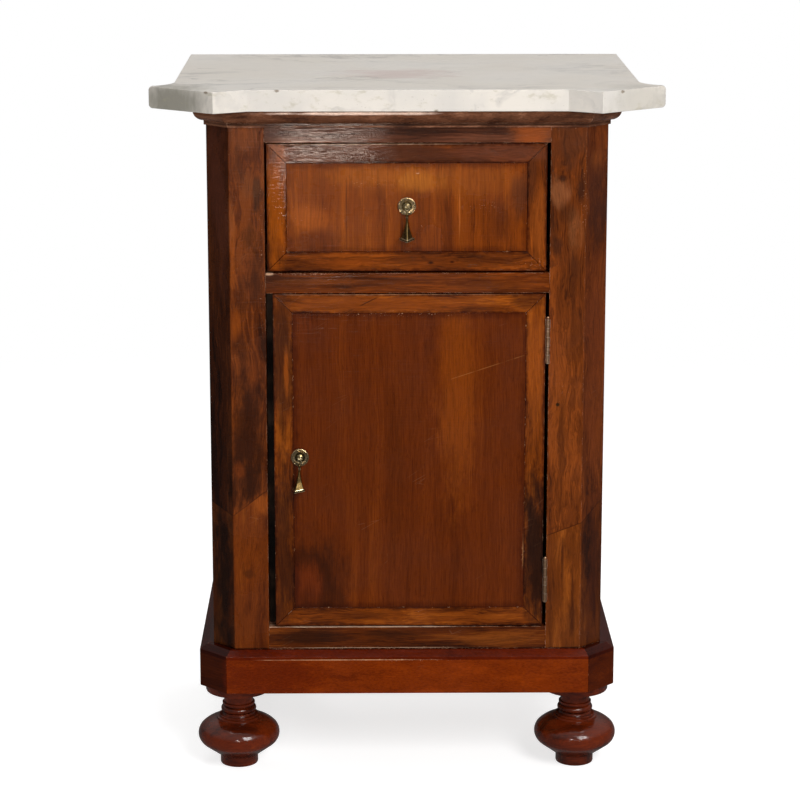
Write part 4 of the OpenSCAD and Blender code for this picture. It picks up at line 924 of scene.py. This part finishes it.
# ----------------------
# Marble top: one white slab with faint grey veins and an ear at each front corner, sawn and
# polished. It lies loose on the case, and dirt has settled in its chips and worn arrises.
marble, tree, shader, place = new_material("white marble")
drift = put(tree, "TexNoise", {"Vector": place, "Scale": 5.0, "Detail": 5.0, "Roughness": 0.6})
shift = vector(tree, "MULTIPLY", drift.outputs["Color"], (0.16, 0.16, 0.16))
warped = vector(tree, "ADD", place, shift)
slanted = noise(tree, vector(tree, "MULTIPLY", warped, (0.5, 1.6, 1.0)), 6.0, 5.0, 0.62)
vein = calc(tree, "ABSOLUTE", minus(tree, slanted, 0.5))
veins = times(tree, fade(tree, vein, 0.0, 0.03, 1.0, 0.0), fade(tree, drift.outputs["Fac"], 0.4, 0.6))
cloud = fade(tree, noise(tree, warped, 9.0, 4.0), 0.35, 0.7)
body = blend(tree, cloud, tone(226, 219, 209), tone(210, 205, 198))
body = blend(tree, times(tree, veins, 0.6), body, tone(168, 164, 160))
speck = fade(tree, noise(tree, place, 420.0, 2.0), 0.7, 0.76)
body = blend(tree, times(tree, speck, 0.3), body, tone(120, 104, 84))
pink = spotted(tree, place, (-0.01, -0.02, 0.8), (0.07, 0.05, 0.05), 1.0, (25, 60, 40))
body = blend(tree, times(tree, pink, 0.35), body, tone(186, 152, 150))
# painted shade on the ears, stronger on the left ear, which faces away from the light
for side, strength in ((-1, 0.9), (1, 0.35)):
    ear_shade = spotted(tree, place, (side * 0.258, -0.158, 0.785), (0.05, 0.05, 0.024), 0.3)
    body = blend(tree, times(tree, ear_shade, strength), body, tone(150, 146, 134))
edge = use(tree, worn_edges, {"Vector": place, "Amount": 0.75})["Mask"]
body = blend(tree, times(tree, edge, 0.5), body, tone(150, 128, 98))
_, _, up = axes(tree, put(tree, "NewGeometry").outputs["Normal"])
on_edge = fade(tree, calc(tree, "ABSOLUTE", up), 0.3, 0.7, 0.45, 0.0)
dirt = noise(tree, place, (60, 60, 110), 4.0, 0.65)
stains = times(tree, fade(tree, dirt, 0.54, 0.72), on_edge)
body = blend(tree, stains, body, tone(178, 170, 144))
for centre in ((-0.144, -0.1727, 0.799), (-0.2213, -0.187, 0.799), (0.0315, -0.1727, 0.7765),
               (0.236, -0.176, 0.798)):
    chip = spotted(tree, place, centre, (0.003, 0.004, 0.002), 0.5, (500, 500, 500))
    body = blend(tree, times(tree, chip, 0.75), body, tone(112, 92, 66))
crystals = noise(tree, place, 900.0, 3.0)
raised = put(tree, "Bump", {"Height": crystals, "Strength": 0.12, "Distance": 0.0003})
feed(tree, shader, {"Base Color": body, "Roughness": fade(tree, cloud, 0.0, 1.0, 0.3, 0.42),
                    "Normal": raised.outputs["Normal"], "Specular IOR Level": 0.4})
ear_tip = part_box("marble_top")[1].x - 0.0006
softened("marble_top", 0.0015, marble, segments=4, arris=0.0045,
         rubbed=lambda edge: all(abs(v.co.x) > ear_tip for v in edge.verts)
         and edge.verts[0].co.z == edge.verts[1].co.z)

# ----------------------
# The room: a pale floor that keeps the shadow, a white surround and soft lamps, and the camera,
# which looks down on the cupboard from the front.
floor_mesh = bmesh.new()
bmesh.ops.create_grid(floor_mesh, x_segments=8, y_segments=8, size=14.0)
data = bpy.data.meshes.new("floor")
floor_mesh.to_mesh(data)
floor_mesh.free()
floor = shown("floor", data)
floor_paint = bpy.data.materials.new("pale floor")
floor_paint.use_nodes = True
tree = floor_paint.node_tree
tree.nodes.clear()
place = put(tree, "TexCoord").outputs["Object"]
rays = put(tree, "LightPath")
lit = put(tree, "BsdfDiffuse", {"Color": (0.8, 0.8, 0.8, 1.0)})
faint = put(tree, "BsdfDiffuse", {"Color": (0.6, 0.6, 0.6, 1.0)})
glow = put(tree, "Emission", {"Color": (1, 1, 1, 1), "Strength": 0.72})
both = put(tree, "AddShader", {0: faint.outputs[0], 1: glow.outputs[0]})
white = put(tree, "Emission", {"Color": (1, 1, 1, 1), "Strength": 1.0})
away = vector(tree, "LENGTH", place)
near = fade(tree, away, 0.9, 2.2, 1.0, 0.0)
seen = put(tree, "MixShader", {0: near, 1: white.outputs[0], 2: both.outputs[0]})
mirrored = calc(tree, "MAXIMUM", rays.outputs["Is Glossy Ray"], rays.outputs["Is Transmission Ray"])
pale = put(tree, "Emission", {"Color": (1, 1, 1, 1), "Strength": 0.13})
bounce = put(tree, "MixShader", {0: mirrored, 1: lit.outputs[0], 2: pale.outputs[0]})
other = put(tree, "MixShader", {0: rays.outputs["Is Camera Ray"], 1: bounce.outputs[0],
                                2: seen.outputs[0]})
put(tree, "OutputMaterial", {"Surface": other.outputs[0]})
data.materials.append(floor_paint)

world = bpy.data.worlds.new("surround")
bpy.context.scene.world = world
world.use_nodes = True
tree = world.node_tree
tree.nodes.clear()
rays = put(tree, "LightPath")
straight = rays.outputs["Is Camera Ray"]
mirrored = calc(tree, "MAXIMUM", rays.outputs["Is Glossy Ray"], rays.outputs["Is Transmission Ray"])
x, _, z = axes(tree, put(tree, "TexCoord").outputs["Generated"])
sides = fade(tree, calc(tree, "ABSOLUTE", x), 0.45, 0.9, 0.0, 0.12)
ceiling = calc(tree, "MAXIMUM", fade(tree, z, 0.1, 0.75, 0.1, 0.48), sides)
strength = calc(tree, "MAXIMUM", straight, times(tree, mirrored, ceiling))
diffuse = minus(tree, 1.0, calc(tree, "MAXIMUM", straight, mirrored))
dim = fade(tree, x, -0.9, 0.5, 0.06, 0.32)
ambient = calc(tree, "MAXIMUM", strength, times(tree, diffuse, dim))
back = put(tree, "Background", {"Color": (1, 1, 1, 1), "Strength": ambient})
put(tree, "OutputWorld", {"Surface": back.outputs[0]})


def lamp(name, place, target, width, height, watts, colour=(1, 1, 1), in_polish=True):
    """A soft lamp turned to a target; the camera doesn't see it, and the polish may mirror it."""
    data = bpy.data.lights.new(name, "AREA")
    data.color = colour
    data.shape = "RECTANGLE"
    data.size = width
    data.size_y = height
    data.energy = watts
    light = shown(name, data)
    light.location = place
    light.rotation_euler = (Vector(target) - Vector(place)).to_track_quat("-Z", "Y").to_euler()
    light.visible_camera = False
    light.visible_glossy = in_polish


lamp("key lamp", (1.25, -2.7, 2.2), (0.0, 0.0, 0.4), 1.3, 1.3, 72)
lamp("left spot", (-0.32, -2.6, 0.95), (0.0, -0.1, 0.3), 0.14, 0.14, 4.4)
lamp("right spot", (0.85, -2.5, 0.95), (0.0, -0.1, 0.3), 0.14, 0.14, 3.2)
lamp("low strip", (-0.115, -1.65, 0.525), (-0.09, -0.15, 0.74), 0.15, 0.04, 0.9, (1.0, 0.82, 0.7))
lamp("back lamp", (-2.0, 2.4, 1.6), (0.0, 0.0, 0.4), 1.2, 1.2, 22, in_polish=False)
lamp("overhead lamp", (0.0, 0.4, 2.8), (0.0, 0.0, 0.4), 2.0, 2.0, 29)

camera_data = bpy.data.cameras.new("camera")
camera_data.lens = 122.5
camera_data.sensor_width = 36.0
camera_data.shift_y = -0.05
camera = shown("camera", camera_data)
camera.location = (-0.042, face_y - 3.0, 1.16)
camera.rotation_euler = (math.radians(90 - 12.55), 0.0, math.radians(-0.64))
bpy.context.scene.camera = camera
bpy.context.scene.view_settings.view_transform = "Standard"
